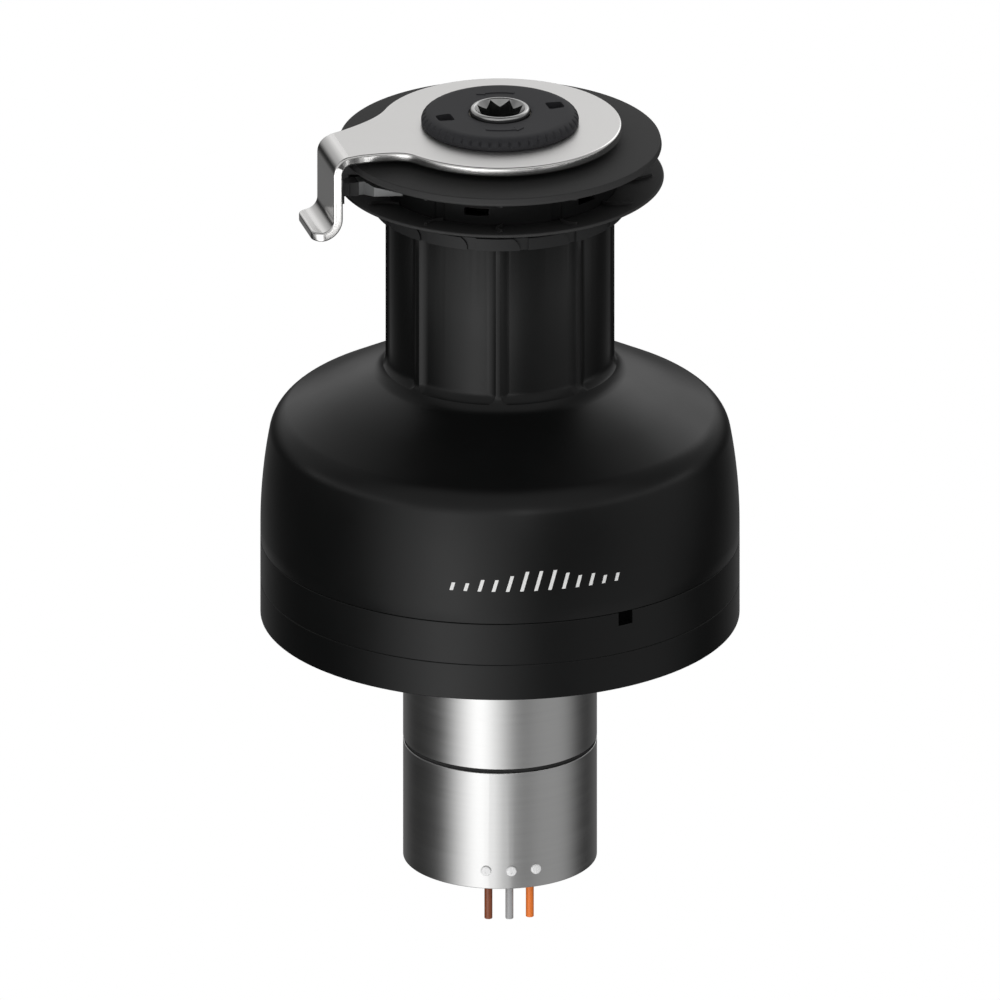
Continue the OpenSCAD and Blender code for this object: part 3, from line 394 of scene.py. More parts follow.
def face_outwards(bm: Mesh) -> None:
    """Makes the faces of a closed mesh point out of it.

    Args:
        bm: The mesh.
    """
    bmesh.ops.recalc_face_normals(bm, faces=bm.faces)
    if bm.calc_volume(signed=True) < 0.0:
        bmesh.ops.reverse_faces(bm, faces=bm.faces)


def outline(points: list[Point], z: float = 0.0) -> Mesh:
    """Starts a mesh with one flat face.

    Args:
        points: The face's corners in the XY plane, in millimetres.
        z: The face's height, in millimetres.

    Returns:
        The new mesh.
    """
    bm = bmesh.new()
    bm.faces.new([bm.verts.new((x * MM, y * MM, z * MM)) for x, y in points])
    return bm


def raised(points: list[Point], z0: float, z1: float) -> Mesh:
    """Extrudes a flat outline from one height to another.

    Args:
        points: The outline's corners in the XY plane, in millimetres.
        z0: The height that it starts from, in millimetres.
        z1: The height that it reaches, in millimetres.

    Returns:
        The new mesh.
    """
    bm = outline(points, z0)
    moved = bmesh.ops.extrude_face_region(bm, geom=list(bm.faces))
    lifted = [v for v in moved["geom"] if isinstance(v, Vert)]
    bmesh.ops.translate(bm, verts=lifted, vec=(0.0, 0.0, (z1 - z0) * MM))
    face_outwards(bm)
    return bm


def lathe(profile: list[Point], steps: int) -> Mesh:
    """Spins a closed profile once round the Z axis.

    Args:
        profile: The profile's radii and heights, in millimetres.
        steps: The number of faces round the axis.

    Returns:
        The new mesh, with its faces pointing outwards.
    """
    bm = bmesh.new()
    verts = [bm.verts.new((r * MM, 0.0, z * MM)) for r, z in profile]
    edges = [bm.edges.new((a, b)) for a, b in zip(verts, verts[1:] + verts[:1])
             if a.co.x + b.co.x > WELD]
    bmesh.ops.spin(bm, geom=verts + edges, cent=(0, 0, 0), axis=(0, 0, 1), dvec=(0, 0, 0),
                   angle=math.tau, steps=steps, use_merge=True, use_duplicate=False)
    bmesh.ops.remove_doubles(bm, verts=bm.verts, dist=WELD)
    face_outwards(bm)
    return bm


def swept(profile: list[Point], angle: float, steps: int) -> Mesh:
    """Spins a filled profile part of the way round the Z axis.

    Args:
        profile: The profile's radii and heights, in millimetres.
        angle: How far it goes, in radians.
        steps: The number of faces along the way.

    Returns:
        The new mesh, with its ends closed.
    """
    bm = bmesh.new()
    face = bm.faces.new([bm.verts.new((r * MM, 0.0, z * MM)) for r, z in profile])
    bmesh.ops.spin(bm, geom=[face, *face.edges, *face.verts], cent=(0, 0, 0), axis=(0, 0, 1),
                   dvec=(0, 0, 0), angle=angle, steps=steps, use_merge=False, use_duplicate=False)
    return bm


def repeat_round(bm: Mesh, count: int) -> None:
    """Copies a mesh evenly round the Z axis.

    Args:
        bm: The mesh, which becomes all the copies together.
        count: How many there are in the end.
    """
    bmesh.ops.spin(bm, geom=everything(bm), cent=(0, 0, 0), axis=(0, 0, 1), dvec=(0, 0, 0),
                   angle=math.tau * (count - 1) / count, steps=count - 1,
                   use_merge=False, use_duplicate=True)


def slice_mesh(bm: Mesh, place: Vector | tuple[float, float, float],
               normal: Vector | tuple[float, float, float]) -> None:
    """Adds edges where a plane crosses a mesh.

    Args:
        bm: The mesh.
        place: A point on the plane, in metres.
        normal: The direction that the plane faces.
    """
    bmesh.ops.bisect_plane(bm, geom=everything(bm), dist=WELD, plane_co=place, plane_no=normal)


def round_edges(bm: Mesh, edges: list[Edge], width: float, segments: int, clamp: bool = True) -> None:
    """Rounds the given edges of a mesh.

    Args:
        bm: The mesh.
        edges: The edges.
        width: How far the rounding reaches from each, in millimetres.
        segments: Faces across the rounding.
        clamp: Whether it stops where two roundings would meet.
    """
    bmesh.ops.bevel(bm, geom=edges, offset=width * MM, offset_type="OFFSET", segments=segments,
                    profile=0.5, affect="EDGES", clamp_overlap=clamp, material=-1)


def soften(bm: Mesh, width: float, segments: int = 2, angle: float = 38.0,
           where: Callable[[Edge], bool] | None = None) -> None:
    """Rounds the sharp edges of a mesh.

    Args:
        bm: The mesh.
        width: How far the rounding reaches from the edge, in millimetres.
        segments: Faces across the rounding.
        angle: The least angle, in degrees, at which an edge counts as sharp.
        where: Picks among the sharp edges, or takes all of them.
    """
    limit = math.radians(angle)
    sharp = [e for e in bm.edges if len(e.link_faces) == 2 and e.calc_face_angle(0.0) > limit]
    round_edges(bm, [e for e in sharp if where is None or where(e)], width, segments)


def recast(node: str) -> Mesh:
    """Copies a frame node's mesh, merges its loose triangles and joins those that lie flat.

    Args:
        node: The node's name.

    Returns:
        The new mesh.
    """
    bm = bmesh.new()
    bm.from_mesh(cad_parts[node].data)
    bmesh.ops.remove_doubles(bm, verts=bm.verts, dist=WELD)
    bmesh.ops.dissolve_limit(bm, angle_limit=math.radians(0.4), use_dissolve_boundaries=False,
                             verts=bm.verts, edges=bm.edges)
    return bm


def joined(*parts: Mesh) -> Mesh:
    """Puts several meshes together.

    Args:
        parts: The meshes. All but the first are freed.

    Returns:
        The first, with the others in it.
    """
    whole = parts[0]
    for part in parts[1:]:
        passing = bpy.data.meshes.new("passing")
        part.to_mesh(passing)
        part.free()
        whole.from_mesh(passing)
        bpy.data.meshes.remove(passing)
    return whole


def carved(bm: Mesh, cutter: Mesh) -> Mesh:
    """Cuts one closed mesh out of another.

    Args:
        bm: The mesh to cut.
        cutter: The mesh that is taken away.

    Returns:
        The cut mesh.
    """
    made = []
    for part, name in ((bm, "blank"), (cutter, "cutter")):
        mesh = bpy.data.meshes.new(name)
        part.to_mesh(mesh)
        part.free()
        made.append(bpy.data.objects.new(name, mesh))
        bpy.context.scene.collection.objects.link(made[-1])
    blank, tool = made
    modifier = blank.modifiers.new("carve", "BOOLEAN")
    modifier.operation = "DIFFERENCE"
    modifier.solver = "EXACT"
    modifier.object = tool
    cut = bpy.data.meshes.new_from_object(blank.evaluated_get(bpy.context.evaluated_depsgraph_get()))
    result = bmesh.new()
    result.from_mesh(cut)
    for obj in made:
        old = obj.data
        bpy.data.objects.remove(obj)
        bpy.data.meshes.remove(old)
    bpy.data.meshes.remove(cut)
    return result


@dataclass
class Piece:
    """Where a finished mesh goes: its name, body, finish and the nodes that it stands for."""

    name: str
    body: str
    finish: Finish
    nodes: tuple[str, ...] = ()
    smooth: float = 34.0
    weighted: bool = True
    second: Finish | None = None

    def place(self, bm: Mesh) -> bpy.types.Object:
        """Makes the object from its mesh and reports it.

        Args:
            bm: The mesh, which is freed.

        Returns:
            The new object.
        """
        mesh = bpy.data.meshes.new(self.name)
        bm.to_mesh(mesh)
        bm.free()
        mesh.shade_smooth()
        mesh.set_sharp_from_angle(angle=math.radians(self.smooth))
        obj = bpy.data.objects.new(self.name, mesh)
        bpy.context.scene.collection.objects.link(obj)
        for finish in filter(None, (self.finish, self.second)):
            mesh.materials.append(finish.material())
        if self.weighted:
            modifier = obj.modifiers.new("flat_faces", "WEIGHTED_NORMAL")
            modifier.keep_sharp = True
            modifier.weight = 60
        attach(obj, self.body)
        if self.nodes:
            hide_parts(*self.nodes)
        LOG.info("%s: %d faces on %s", self.name, len(mesh.polygons), self.body)
        return obj


def dress(node: str, finish: Finish) -> None:
    """Gives a frame node that keeps its own mesh its finish.

    Args:
        node: The node's name.
        finish: Its finish.
    """
    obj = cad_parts[node]
    obj.data.materials.clear()
    obj.data.materials.append(finish.material())
    LOG.info("%s: dressed in %s", node, finish.name)


# Camera, lamps and floor


@dataclass(frozen=True)
class SoftPanel:
    """A soft-edged patch of light in the surroundings, by its bearing and height in degrees."""

    azimuth: float
    half_width: float
    side_blur: float
    low: float
    high: float
    end_blur: float
    strength: float

    def add(self, tree: Tree, turn: Socket, lift: Socket) -> Socket:
        """Adds the nodes of the panel.

        Args:
            tree: The world's node tree.
            turn: The ray's bearing from the front, in radians.
            lift: The ray's height above the level, in radians.

        Returns:
            The socket that gives the panel's light.
        """
        aside = calculated(tree, "SUBTRACT", turn, math.radians(self.azimuth))
        wrapped = calculated(tree, "WRAP", aside, math.pi, -math.pi)
        far = calculated(tree, "ABSOLUTE", wrapped)
        light = self.step(tree, far, self.half_width, self.side_blur, (self.strength, 0.0))
        above = self.step(tree, lift, self.low, self.end_blur, (0.0, 1.0))
        below = self.step(tree, lift, self.high, self.end_blur, (1.0, 0.0))
        return calculated(tree, "MULTIPLY", calculated(tree, "MULTIPLY", light, above), below)

    def step(self, tree: Tree, value: Socket, middle: float, blur: float, levels: Point) -> Socket:
        """Adds one smooth step between two levels.

        Args:
            tree: The world's node tree.
            value: The angle that the step reads, in radians.
            middle: The angle at the step's middle, in degrees.
            blur: Half the step's width, in degrees.
            levels: The levels before and after it.

        Returns:
            The socket that gives the level.
        """
        ramp = tree.nodes.new("ShaderNodeMapRange")
        ramp.interpolation_type = "SMOOTHSTEP"
        tree.links.new(value, ramp.inputs["Value"])
        ramp.inputs["From Min"].default_value = math.radians(middle - blur)
        ramp.inputs["From Max"].default_value = math.radians(middle + blur)
        ramp.inputs["To Min"].default_value, ramp.inputs["To Max"].default_value = levels
        return ramp.outputs["Result"]


PANELS = (
    SoftPanel(-24.0, 30.0, 22.0, -80.0, 4.0, 10.0, 1.80),
    SoftPanel(62.0, 32.0, 18.0, -80.0, -12.0, 8.0, 0.50),
    SoftPanel(84.0, 26.0, 16.0, -12.0, 4.0, 8.0, 0.50),
    SoftPanel(132.0, 40.0, 18.0, 4.0, 62.0, 10.0, 0.41),
    SoftPanel(-140.0, 44.0, 18.0, 4.0, 58.0, 10.0, 0.43),
    SoftPanel(180.0, 26.0, 16.0, 4.0, 46.0, 10.0, 0.52),
    SoftPanel(0.0, 80.0, 20.0, 8.0, 74.0, 10.0, 0.62),
    SoftPanel(180.0, 36.0, 26.0, -80.0, -16.0, 10.0, 0.22),
)
AMBIENT = 0.02


@dataclass(frozen=True)
class Lamp:
    """A soft area lamp: its bearing from the front towards +X and height in degrees, metres and watts."""

    name: str
    azimuth: float
    elevation: float
    size: Point
    power: float
    reach: float = 1.6

    def hang(self, aim: Vector) -> None:
        """Hangs the lamp so that it faces the middle of the winch.

        Args:
            aim: The point that it faces.
        """
        data = bpy.data.lights.new(self.name, "AREA")
        data.shape = "RECTANGLE"
        data.size, data.size_y = self.size
        data.energy = self.power
        obj = bpy.data.objects.new(self.name, data)
        turn, lift = math.radians(self.azimuth), math.radians(self.elevation)
        out = Vector((math.sin(turn) * math.cos(lift), -math.cos(turn) * math.cos(lift), math.sin(lift)))
        obj.location = aim + out * self.reach
        obj.rotation_euler = out.to_track_quat("Z", "Y").to_euler()
        obj.visible_camera = False
        bpy.context.scene.collection.objects.link(obj)


# Two lamps help the panels, and the low cards near the winch light its upright edges.
LAMPS = (
    Lamp("front_left", -24.0, -14.0, (0.5, 0.9), 1.2),
    Lamp("behind_right", 150.0, 34.0, (0.9, 0.6), 1.5),
    Lamp("left_card", -66.0, 13.0, (0.42, 0.05), 0.062, 0.37),
    Lamp("front_card", 0.0, 13.0, (0.42, 0.05), 0.062, 0.37),
    Lamp("right_card", 66.0, 13.0, (0.42, 0.05), 0.062, 0.37),
    Lamp("arm_card", 9.6, 13.8, (0.03, 0.055), 0.012, 0.31),
)


@dataclass
class Studio:
    """The camera at the photograph's angle, the white surroundings and the floor, in metres."""

    elevation: float = 21.8
    view_width: float = 0.5
    aim: tuple[float, float, float] = (0.0, 0.0, 0.060)
    distance: float = 3.0
    sight: float = 20.0
    floor_z: float = -0.32
    floor_half: float = 6.0
    floor_tone: float = 0.12

    def camera(self) -> None:
        """Makes the level-lined camera and sets it as the scene's."""
        tilt = math.radians(self.elevation)
        data = bpy.data.cameras.new("camera")
        data.type = "ORTHO"
        data.ortho_scale = self.view_width
        data.clip_end = self.sight
        obj = bpy.data.objects.new("camera", data)
        back = Vector((0.0, -math.cos(tilt), math.sin(tilt)))
        obj.location = Vector(self.aim) + back * self.distance
        obj.rotation_euler = (math.radians(90.0 - self.elevation), 0.0, 0.0)
        bpy.context.scene.collection.objects.link(obj)
        bpy.context.scene.camera = obj

    def world(self) -> None:
        """Makes the surroundings white to the camera, and soft panels in the dark to everything else."""
        made = bpy.data.worlds.new("surroundings")
        bpy.context.scene.world = made
        made.use_nodes = True
        tree = made.node_tree
        shade = tree.nodes["Background"]
        place = tree.nodes.new("ShaderNodeTexCoord")
        split = tree.nodes.new("ShaderNodeSeparateXYZ")
        tree.links.new(place.outputs["Generated"], split.inputs[0])
        ahead = calculated(tree, "MULTIPLY", split.outputs["Y"], -1.0)
        turn = calculated(tree, "ARCTAN2", split.outputs["X"], ahead)
        lift = calculated(tree, "ARCSINE", split.outputs["Z"])
        total = AMBIENT
        for panel in PANELS:
            total = calculated(tree, "ADD", panel.add(tree, turn, lift), total)
        path = tree.nodes.new("ShaderNodeLightPath")
        level = tree.nodes.new("ShaderNodeMix")
        level.inputs["B"].default_value = 1.0
        tree.links.new(path.outputs["Is Camera Ray"], level.inputs["Factor"])
        tree.links.new(total, level.inputs["A"])
        tree.links.new(level.outputs["Result"], shade.inputs["Strength"])
        shade.inputs["Color"].default_value = (1.0, 1.0, 1.0, 1.0)

    def floor(self) -> None:
        """Lays the plain pale floor under the winch."""
        bm = bmesh.new()
        bmesh.ops.create_grid(bm, x_segments=1, y_segments=1, size=self.floor_half)
        bmesh.ops.translate(bm, verts=bm.verts, vec=(0.0, 0.0, self.floor_z))
        mesh = bpy.data.meshes.new("floor")
        bm.to_mesh(mesh)
        bm.free()
        obj = bpy.data.objects.new("floor", mesh)
        bpy.context.scene.collection.objects.link(obj)
        made = bpy.data.materials.new("floor_white")
        made.use_nodes = True
        tree = made.node_tree
        end = tree.nodes["Material Output"]
        tree.nodes.remove(tree.nodes["Principled BSDF"])
        path = tree.nodes.new("ShaderNodeLightPath")
        matt = tree.nodes.new("ShaderNodeBsdfDiffuse")
        matt.inputs["Color"].default_value = (self.floor_tone, self.floor_tone, self.floor_tone, 1.0)
        bright = tree.nodes.new("ShaderNodeEmission")
        choice = tree.nodes.new("ShaderNodeMixShader")
        tree.links.new(path.outputs["Is Camera Ray"], choice.inputs["Fac"])
        tree.links.new(matt.outputs[0], choice.inputs[1])
        tree.links.new(bright.outputs[0], choice.inputs[2])
        tree.links.new(choice.outputs[0], end.inputs["Surface"])
        mesh.materials.append(made)
        obj.visible_diffuse = False
        obj.visible_glossy = False
        obj.visible_shadow = False

    def build(self) -> None:
        """Builds the whole studio."""
        self.camera()
        for lamp in LAMPS:
            lamp.hang(Vector(self.aim))
        self.world()
        self.floor()
        bpy.context.scene.view_settings.view_transform = "Standard"


# Wires


@dataclass
class PhaseWires:
    """The motor's three phase wires, which hang out of the end cap and are cut square."""

    radius: float = 2.0
    sides: int = 20
    edge: float = 0.22
    core_radius: float = 1.25
    core_sides: int = 16
    core_depth: float = 0.5
    core_lift: float = 0.2
    body: str = "deck_unit"
    levels: tuple[float, ...] = (-118, -120, -122, -124, -126, -128, -130, -132,
                                 -134, -136, -138, -140, -142, -144, -146, -149.1)
    places: dict[str, Point] = field(default_factory=lambda: {
        "brown_wire": (-5.8, -39.8), "grey_wire": (4.7, -39.9), "orange_wire": (14.9, -37.3)})

    def insulation(self, name: str, spot: Point, finish: Finish) -> bpy.types.Object:
        """Draws one wire's insulation down its route, from the end cap to its cut end.

        Args:
            name: The wire's node.
            spot: Its place in plan, in millimetres.
            finish: Its finish.

        Returns:
            The insulation's object.
        """
        bm = bmesh.new()
        bmesh.ops.create_circle(bm, cap_ends=True, segments=self.sides, radius=self.radius * MM)
        bmesh.ops.translate(bm, verts=bm.verts, vec=(spot[0] * MM, spot[1] * MM, self.levels[0] * MM))
        end = list(bm.faces)
        for high, low in zip(self.levels, self.levels[1:]):
            moved = bmesh.ops.extrude_face_region(bm, geom=end)
            end = [f for f in moved["geom"] if isinstance(f, Face)]
            rim = [v for v in moved["geom"] if isinstance(v, Vert)]
            bmesh.ops.translate(bm, verts=rim, vec=(0.0, 0.0, (low - high) * MM))
        face_outwards(bm)
        soften(bm, self.edge)
        return Piece(f"{name}_insulation", self.body, finish, (name,)).place(bm)

    def core(self, name: str, spot: Point) -> bpy.types.Object:
        """Makes the copper that shows at a wire's cut end.

        Args:
            name: The wire's node.
            spot: Its place in plan, in millimetres.

        Returns:
            The copper's object.
        """
        bm = bmesh.new()
        bmesh.ops.create_cone(bm, cap_ends=True, segments=self.core_sides, radius1=self.core_radius * MM,
                              radius2=self.core_radius * MM, depth=self.core_depth * MM)
        middle = (spot[0] * MM, spot[1] * MM, (self.levels[-1] + self.core_lift) * MM)
        bmesh.ops.translate(bm, verts=bm.verts, vec=middle)
        return Piece(f"{name}_copper", self.body, COPPER).place(bm)

    def build(self) -> None:
        """Builds the three wires, each with its insulation and its copper."""
        finishes = (WIRE_BROWN, WIRE_GREY, WIRE_ORANGE)
        for (name, spot), finish in zip(self.places.items(), finishes):
            wire = self.insulation(name, spot, finish)
            core = self.core(name, spot)


# Base rings


@dataclass
class DeckBase:
    """The two black rings that the bell turns above, with their screws and seal."""

    rim_r: float = 119.85
    edge: float = 0.45
    notch_angle: float = 31.6
    notch_w: float = 7.6
    notch_h: float = 7.0
    notch_deep: float = 10.0
    slack: float = 0.1
    body: str = "deck_unit"

    def in_notch(self, face: Face, top: float) -> bool:
        """Tells whether a face is a wall of the drain notch.

        Args:
            face: The face.
            top: The height of the ring's top, in millimetres.

        Returns:
            Whether it is.
        """
        place = face.calc_center_median() / MM
        aside = math.degrees(math.atan2(place.x, -place.y)) - self.notch_angle
        return (abs(aside) < math.degrees(self.notch_w / 2 / self.rim_r) + self.slack
                and self.rim_r - self.notch_deep < place.xy.length < self.rim_r - self.slack
                and top - self.notch_h - self.slack < place.z < top - self.slack)

    def on_rim(self, edge: Edge) -> bool:
        """Tells whether an edge runs round the outside of a ring."""
        return all(v.co.xy.length > (self.rim_r - 0.3) * MM for v in edge.verts)

    def ring(self, node: str) -> Mesh:
        """Copies one ring from the frame and softens its rim.

        Args:
            node: The ring's node.

        Returns:
            The ring's mesh.
        """
        bm = recast(node)
        soften(bm, self.edge, 3, 50.0, self.on_rim)
        return bm

    def build(self) -> None:
        """Builds the rings, the upper one with painted shade on the walls of its notch, and what joins them.
        """
        Piece("base_plate_ring", self.body, BASE_BLACK, ("base_plate",)).place(self.ring("base_plate"))
        bm = self.ring("base_housing")
        top = max(v.co.z for v in bm.verts) / MM
        # The faces of the drain notch's walls take the near-black second finish as painted shade.
        for face in bm.faces:
            face.material_index = int(self.in_notch(face, top))
        Piece("base_housing_ring", self.body, BASE_BLACK, ("base_housing",), second=NOTCH_PAINTED_SHADE).place(bm)
        Piece("base_screw_set", self.body, STEEL, ("base_screws",)).place(recast("base_screws"))
        dress("drum_seal", SEAL_BLACK)


# Drum and bell


@dataclass
class DrumBell:
    """The drum and bell, one black casting with eight ribs."""

    base_r: float = 119.85
    bell_z: float = 41.2
    foot_h: float = 7.0
    side_r: float = 271.0
    shoulder_r: float = 17.5
    cone_slope: float = 28.0
    cone_r: float = 89.9
    cone_z: float = 118.1
    dome_r: float = 215.0
    fillet: float = 10.0
    drum_r: float = 57.25
    top_z: float = 219.3
    bore_r: float = 48.2
    hub_r: float = 55.2
    hub_z: float = 80.3
    wall: float = 8.0
    ribs: int = 8
    rib_h: float = 1.75
    rib_crest: float = 2.0
    scoop_r: float = 7.0
    scoop_z: float = 140.1
    corner_r: float = 6.5
    rib_phase: float = -91.0
    edge: float = 0.35
    arc_steps: tuple[int, int, int, int] = (24, 22, 14, 24)
    climb_steps: int = 8
    steps: int = 10
    cut_over: float = 3.0
    cut_deep: float = 26.0
    slices: int = 18
    slice_w: float = 1.25
    bars: int = 13
    bar_pitch: float = 3.4
    bar_w: float = 0.85
    bar_lean: float = 0.14
    bar_h: float = 13.0
    bar_drop: float = 1.2
    bar_skin: Point = (-0.12, 0.3)
    bars_middle: float = -82.0
    bars_z: float = 57.0
    body: str = "drum_unit"

    def line(self, wall: float) -> list[Point]:
        """Returns the bell's outline from its foot to the drum, drawn in by a wall.

        Args:
            wall: How far inside the outer face the outline runs, in millimetres.

        Returns:
            The outline's points.
        """
        slope = self.cone_slope
        side_c = Vector((self.base_r - self.side_r, self.bell_z + self.foot_h))
        cone = Vector((self.cone_r, self.cone_z))
        dome_c = cone - self.dome_r * rise(slope)
        foot_c, neck_slope = self.foot(dome_c)
        down = Vector((math.cos(math.radians(slope)), -math.sin(math.radians(slope))))
        off = cone - self.shoulder_r * rise(slope) - side_c
        along = off.dot(down)
        reach = self.side_r - self.shoulder_r
        shoulder_c = side_c + off + down * (math.sqrt(along * along - off.dot(off) + reach * reach) - along)
        lean = math.degrees(math.atan2(shoulder_c.y - side_c.y, shoulder_c.x - side_c.x))
        side, shoulder, dome, foot = self.arc_steps
        points = [(self.base_r - wall, self.bell_z)]
        points += arc(tuple(side_c), self.side_r - wall, 0.0, lean, side)
        points += arc(tuple(shoulder_c), self.shoulder_r - wall, lean, 90.0 - slope, shoulder)[1:]
        points += arc(tuple(dome_c), self.dome_r - wall, 90.0 - slope, 90.0 - neck_slope, dome)
        points += arc(tuple(foot_c), self.fillet + wall, 270.0 - neck_slope, 180.0, foot)[1:]
        return points

    def foot(self, dome_c: Vector) -> tuple[Vector, float]:
        """Finds the fillet at the drum's foot.

        Args:
            dome_c: The centre of the bell's domed top.

        Returns:
            The fillet's centre, and the bell's slope in degrees where it begins.
        """
        aside = self.drum_r + self.fillet - dome_c.x
        reach = self.dome_r + self.fillet
        height = math.sqrt(reach * reach - aside * aside)
        return Vector((dome_c.x + aside, dome_c.y + height)), math.degrees(math.asin(aside / reach))

    def profile(self) -> list[Point]:
        """Returns the casting's whole profile.

        Returns:
            Its points, up the outside and down the inside.
        """
        inner = [p for p in self.line(self.wall) if p[0] > self.hub_r + 1.0]
        outer = self.line(0.0)
        foot_z, count = outer[-1][1], self.climb_steps
        climb = [(self.drum_r, foot_z + (self.top_z - foot_z) * i / count) for i in range(1, count + 1)]
        core = [(self.bore_r, self.top_z), (self.bore_r, self.hub_z), (self.hub_r, self.hub_z)]
        return outer + climb + core + [(self.hub_r, inner[-1][1])] + inner[::-1]

    def half_bay(self) -> Mesh:
        """Spins the profile from the middle of a panel to the middle of a rib.

        Returns:
            The half bay's mesh.
        """
        bm = swept(self.profile(), math.pi / self.ribs, self.steps)
        bmesh.ops.remove_doubles(bm, verts=bm.verts, dist=WELD)
        face_outwards(bm)
        return bm

    def panel_cutter(self) -> Mesh:
        """Makes the round-cornered tray that scoops one panel out of the drum.

        Returns:
            The cutter's mesh, wrapped round the axis.
        """
        panel_r = self.drum_r - self.rib_h
        pitch = math.tau / self.ribs * panel_r
        slope = math.sqrt(self.scoop_r ** 2 - (self.scoop_r - self.rib_h) ** 2)
        half = pitch / 2 - self.rib_crest / 2 - slope + self.scoop_r
        low = self.scoop_z - self.scoop_r
        high, deep = self.top_z + self.cut_over, panel_r + self.cut_deep
        bm = raised([(-half, panel_r), (half, panel_r), (half, deep), (-half, deep)], low, high)
        foot = [e for e in bm.edges if all(abs(v.co.z - low * MM) < WELD for v in e.verts)
                and abs(e.verts[0].co.x - e.verts[1].co.x) < WELD]
        round_edges(bm, foot, self.corner_r, 10, clamp=False)
        floor = min(bm.faces, key=lambda f: f.calc_center_median().y)
        rim = [e for e in floor.edges if any(v.co.z < (high - 1.0) * MM for v in e.verts)]
        round_edges(bm, rim, self.scoop_r, 10, clamp=False)
        for i in range(-self.slices, self.slices + 1):
            slice_mesh(bm, (i * self.slice_w * MM, 0, 0), (1, 0, 0))
        for v in bm.verts:
            turn = v.co.x / (panel_r * MM)
            v.co = Vector((v.co.y * math.cos(turn), v.co.y * math.sin(turn), v.co.z))
        face_outwards(bm)
        return bm

    def skin(self, wall: float, height: float) -> list[Point]:
        """Returns the part of the bell's outline that one printed bar covers.

        Args:
            wall: How far inside the outer face the outline runs, in millimetres.
            height: The bar's height, in millimetres.

        Returns:
            The outline's points.
        """
        return [p for p in self.line(wall) if self.bars_z <= p[1] <= self.bars_z + height]

    def bar(self, bearing: float, height: float) -> Mesh:
        """Makes one leaning bar of the printed row, as a thin skin on the bell's side.

        Args:
            bearing: The angle of the bar's foot, in degrees.
            height: The bar's height, in millimetres.

        Returns:
            The bar's mesh.
        """
        outer, inner = self.bar_skin
        bm = swept(self.skin(outer, height) + self.skin(inner, height)[::-1], math.radians(self.bar_w), 2)
        for v in bm.verts:
            lean = math.radians(bearing + self.bar_lean * (v.co.z / MM - self.bars_z))
            v.co.xy = Matrix.Rotation(lean, 2) @ v.co.xy
        face_outwards(bm)
        return bm

    def print_row(self) -> None:
        """Prints the row of leaning bars, tallest in its middle."""
        middle = (self.bars - 1) / 2
        made = [self.bar(self.bars_middle + self.bar_pitch * (i - middle),
                         self.bar_h - self.bar_drop * abs(i - middle)) for i in range(self.bars)]
        Piece("bell_print", self.body, PRINT_GREY).place(joined(*made))

    def build(self) -> None:
        """Cuts half a bay, mirrors it, repeats it round the drum and prints the bell."""
        bm = carved(self.half_bay(), self.panel_cutter())
        half = math.pi / self.ribs
        rib = Vector((-math.sin(half), math.cos(half), 0.0))
        ends = [f for f in bm.faces if all(abs(v.co.y) < WELD for v in f.verts)
                or all(abs(v.co.dot(rib)) < WELD for v in f.verts)]
        bmesh.ops.delete(bm, geom=ends, context="FACES")
        bmesh.ops.mirror(bm, geom=everything(bm), matrix=Matrix.Identity(4), merge_dist=WELD, axis="Y")
        repeat_round(bm, self.ribs)
        bmesh.ops.remove_doubles(bm, verts=bm.verts, dist=3 * WELD)
        face_outwards(bm)
        soften(bm, self.edge, 2, 30.0)
        turn = Matrix.Rotation(math.radians(self.rib_phase) + half, 3, "Z")
        bmesh.ops.transform(bm, matrix=turn, verts=bm.verts)
        Piece("drum_and_bell", self.body, CAST_BLACK, ("drum",), 30.0, False).place(bm)
        self.print_row()


# Jaws and carrier


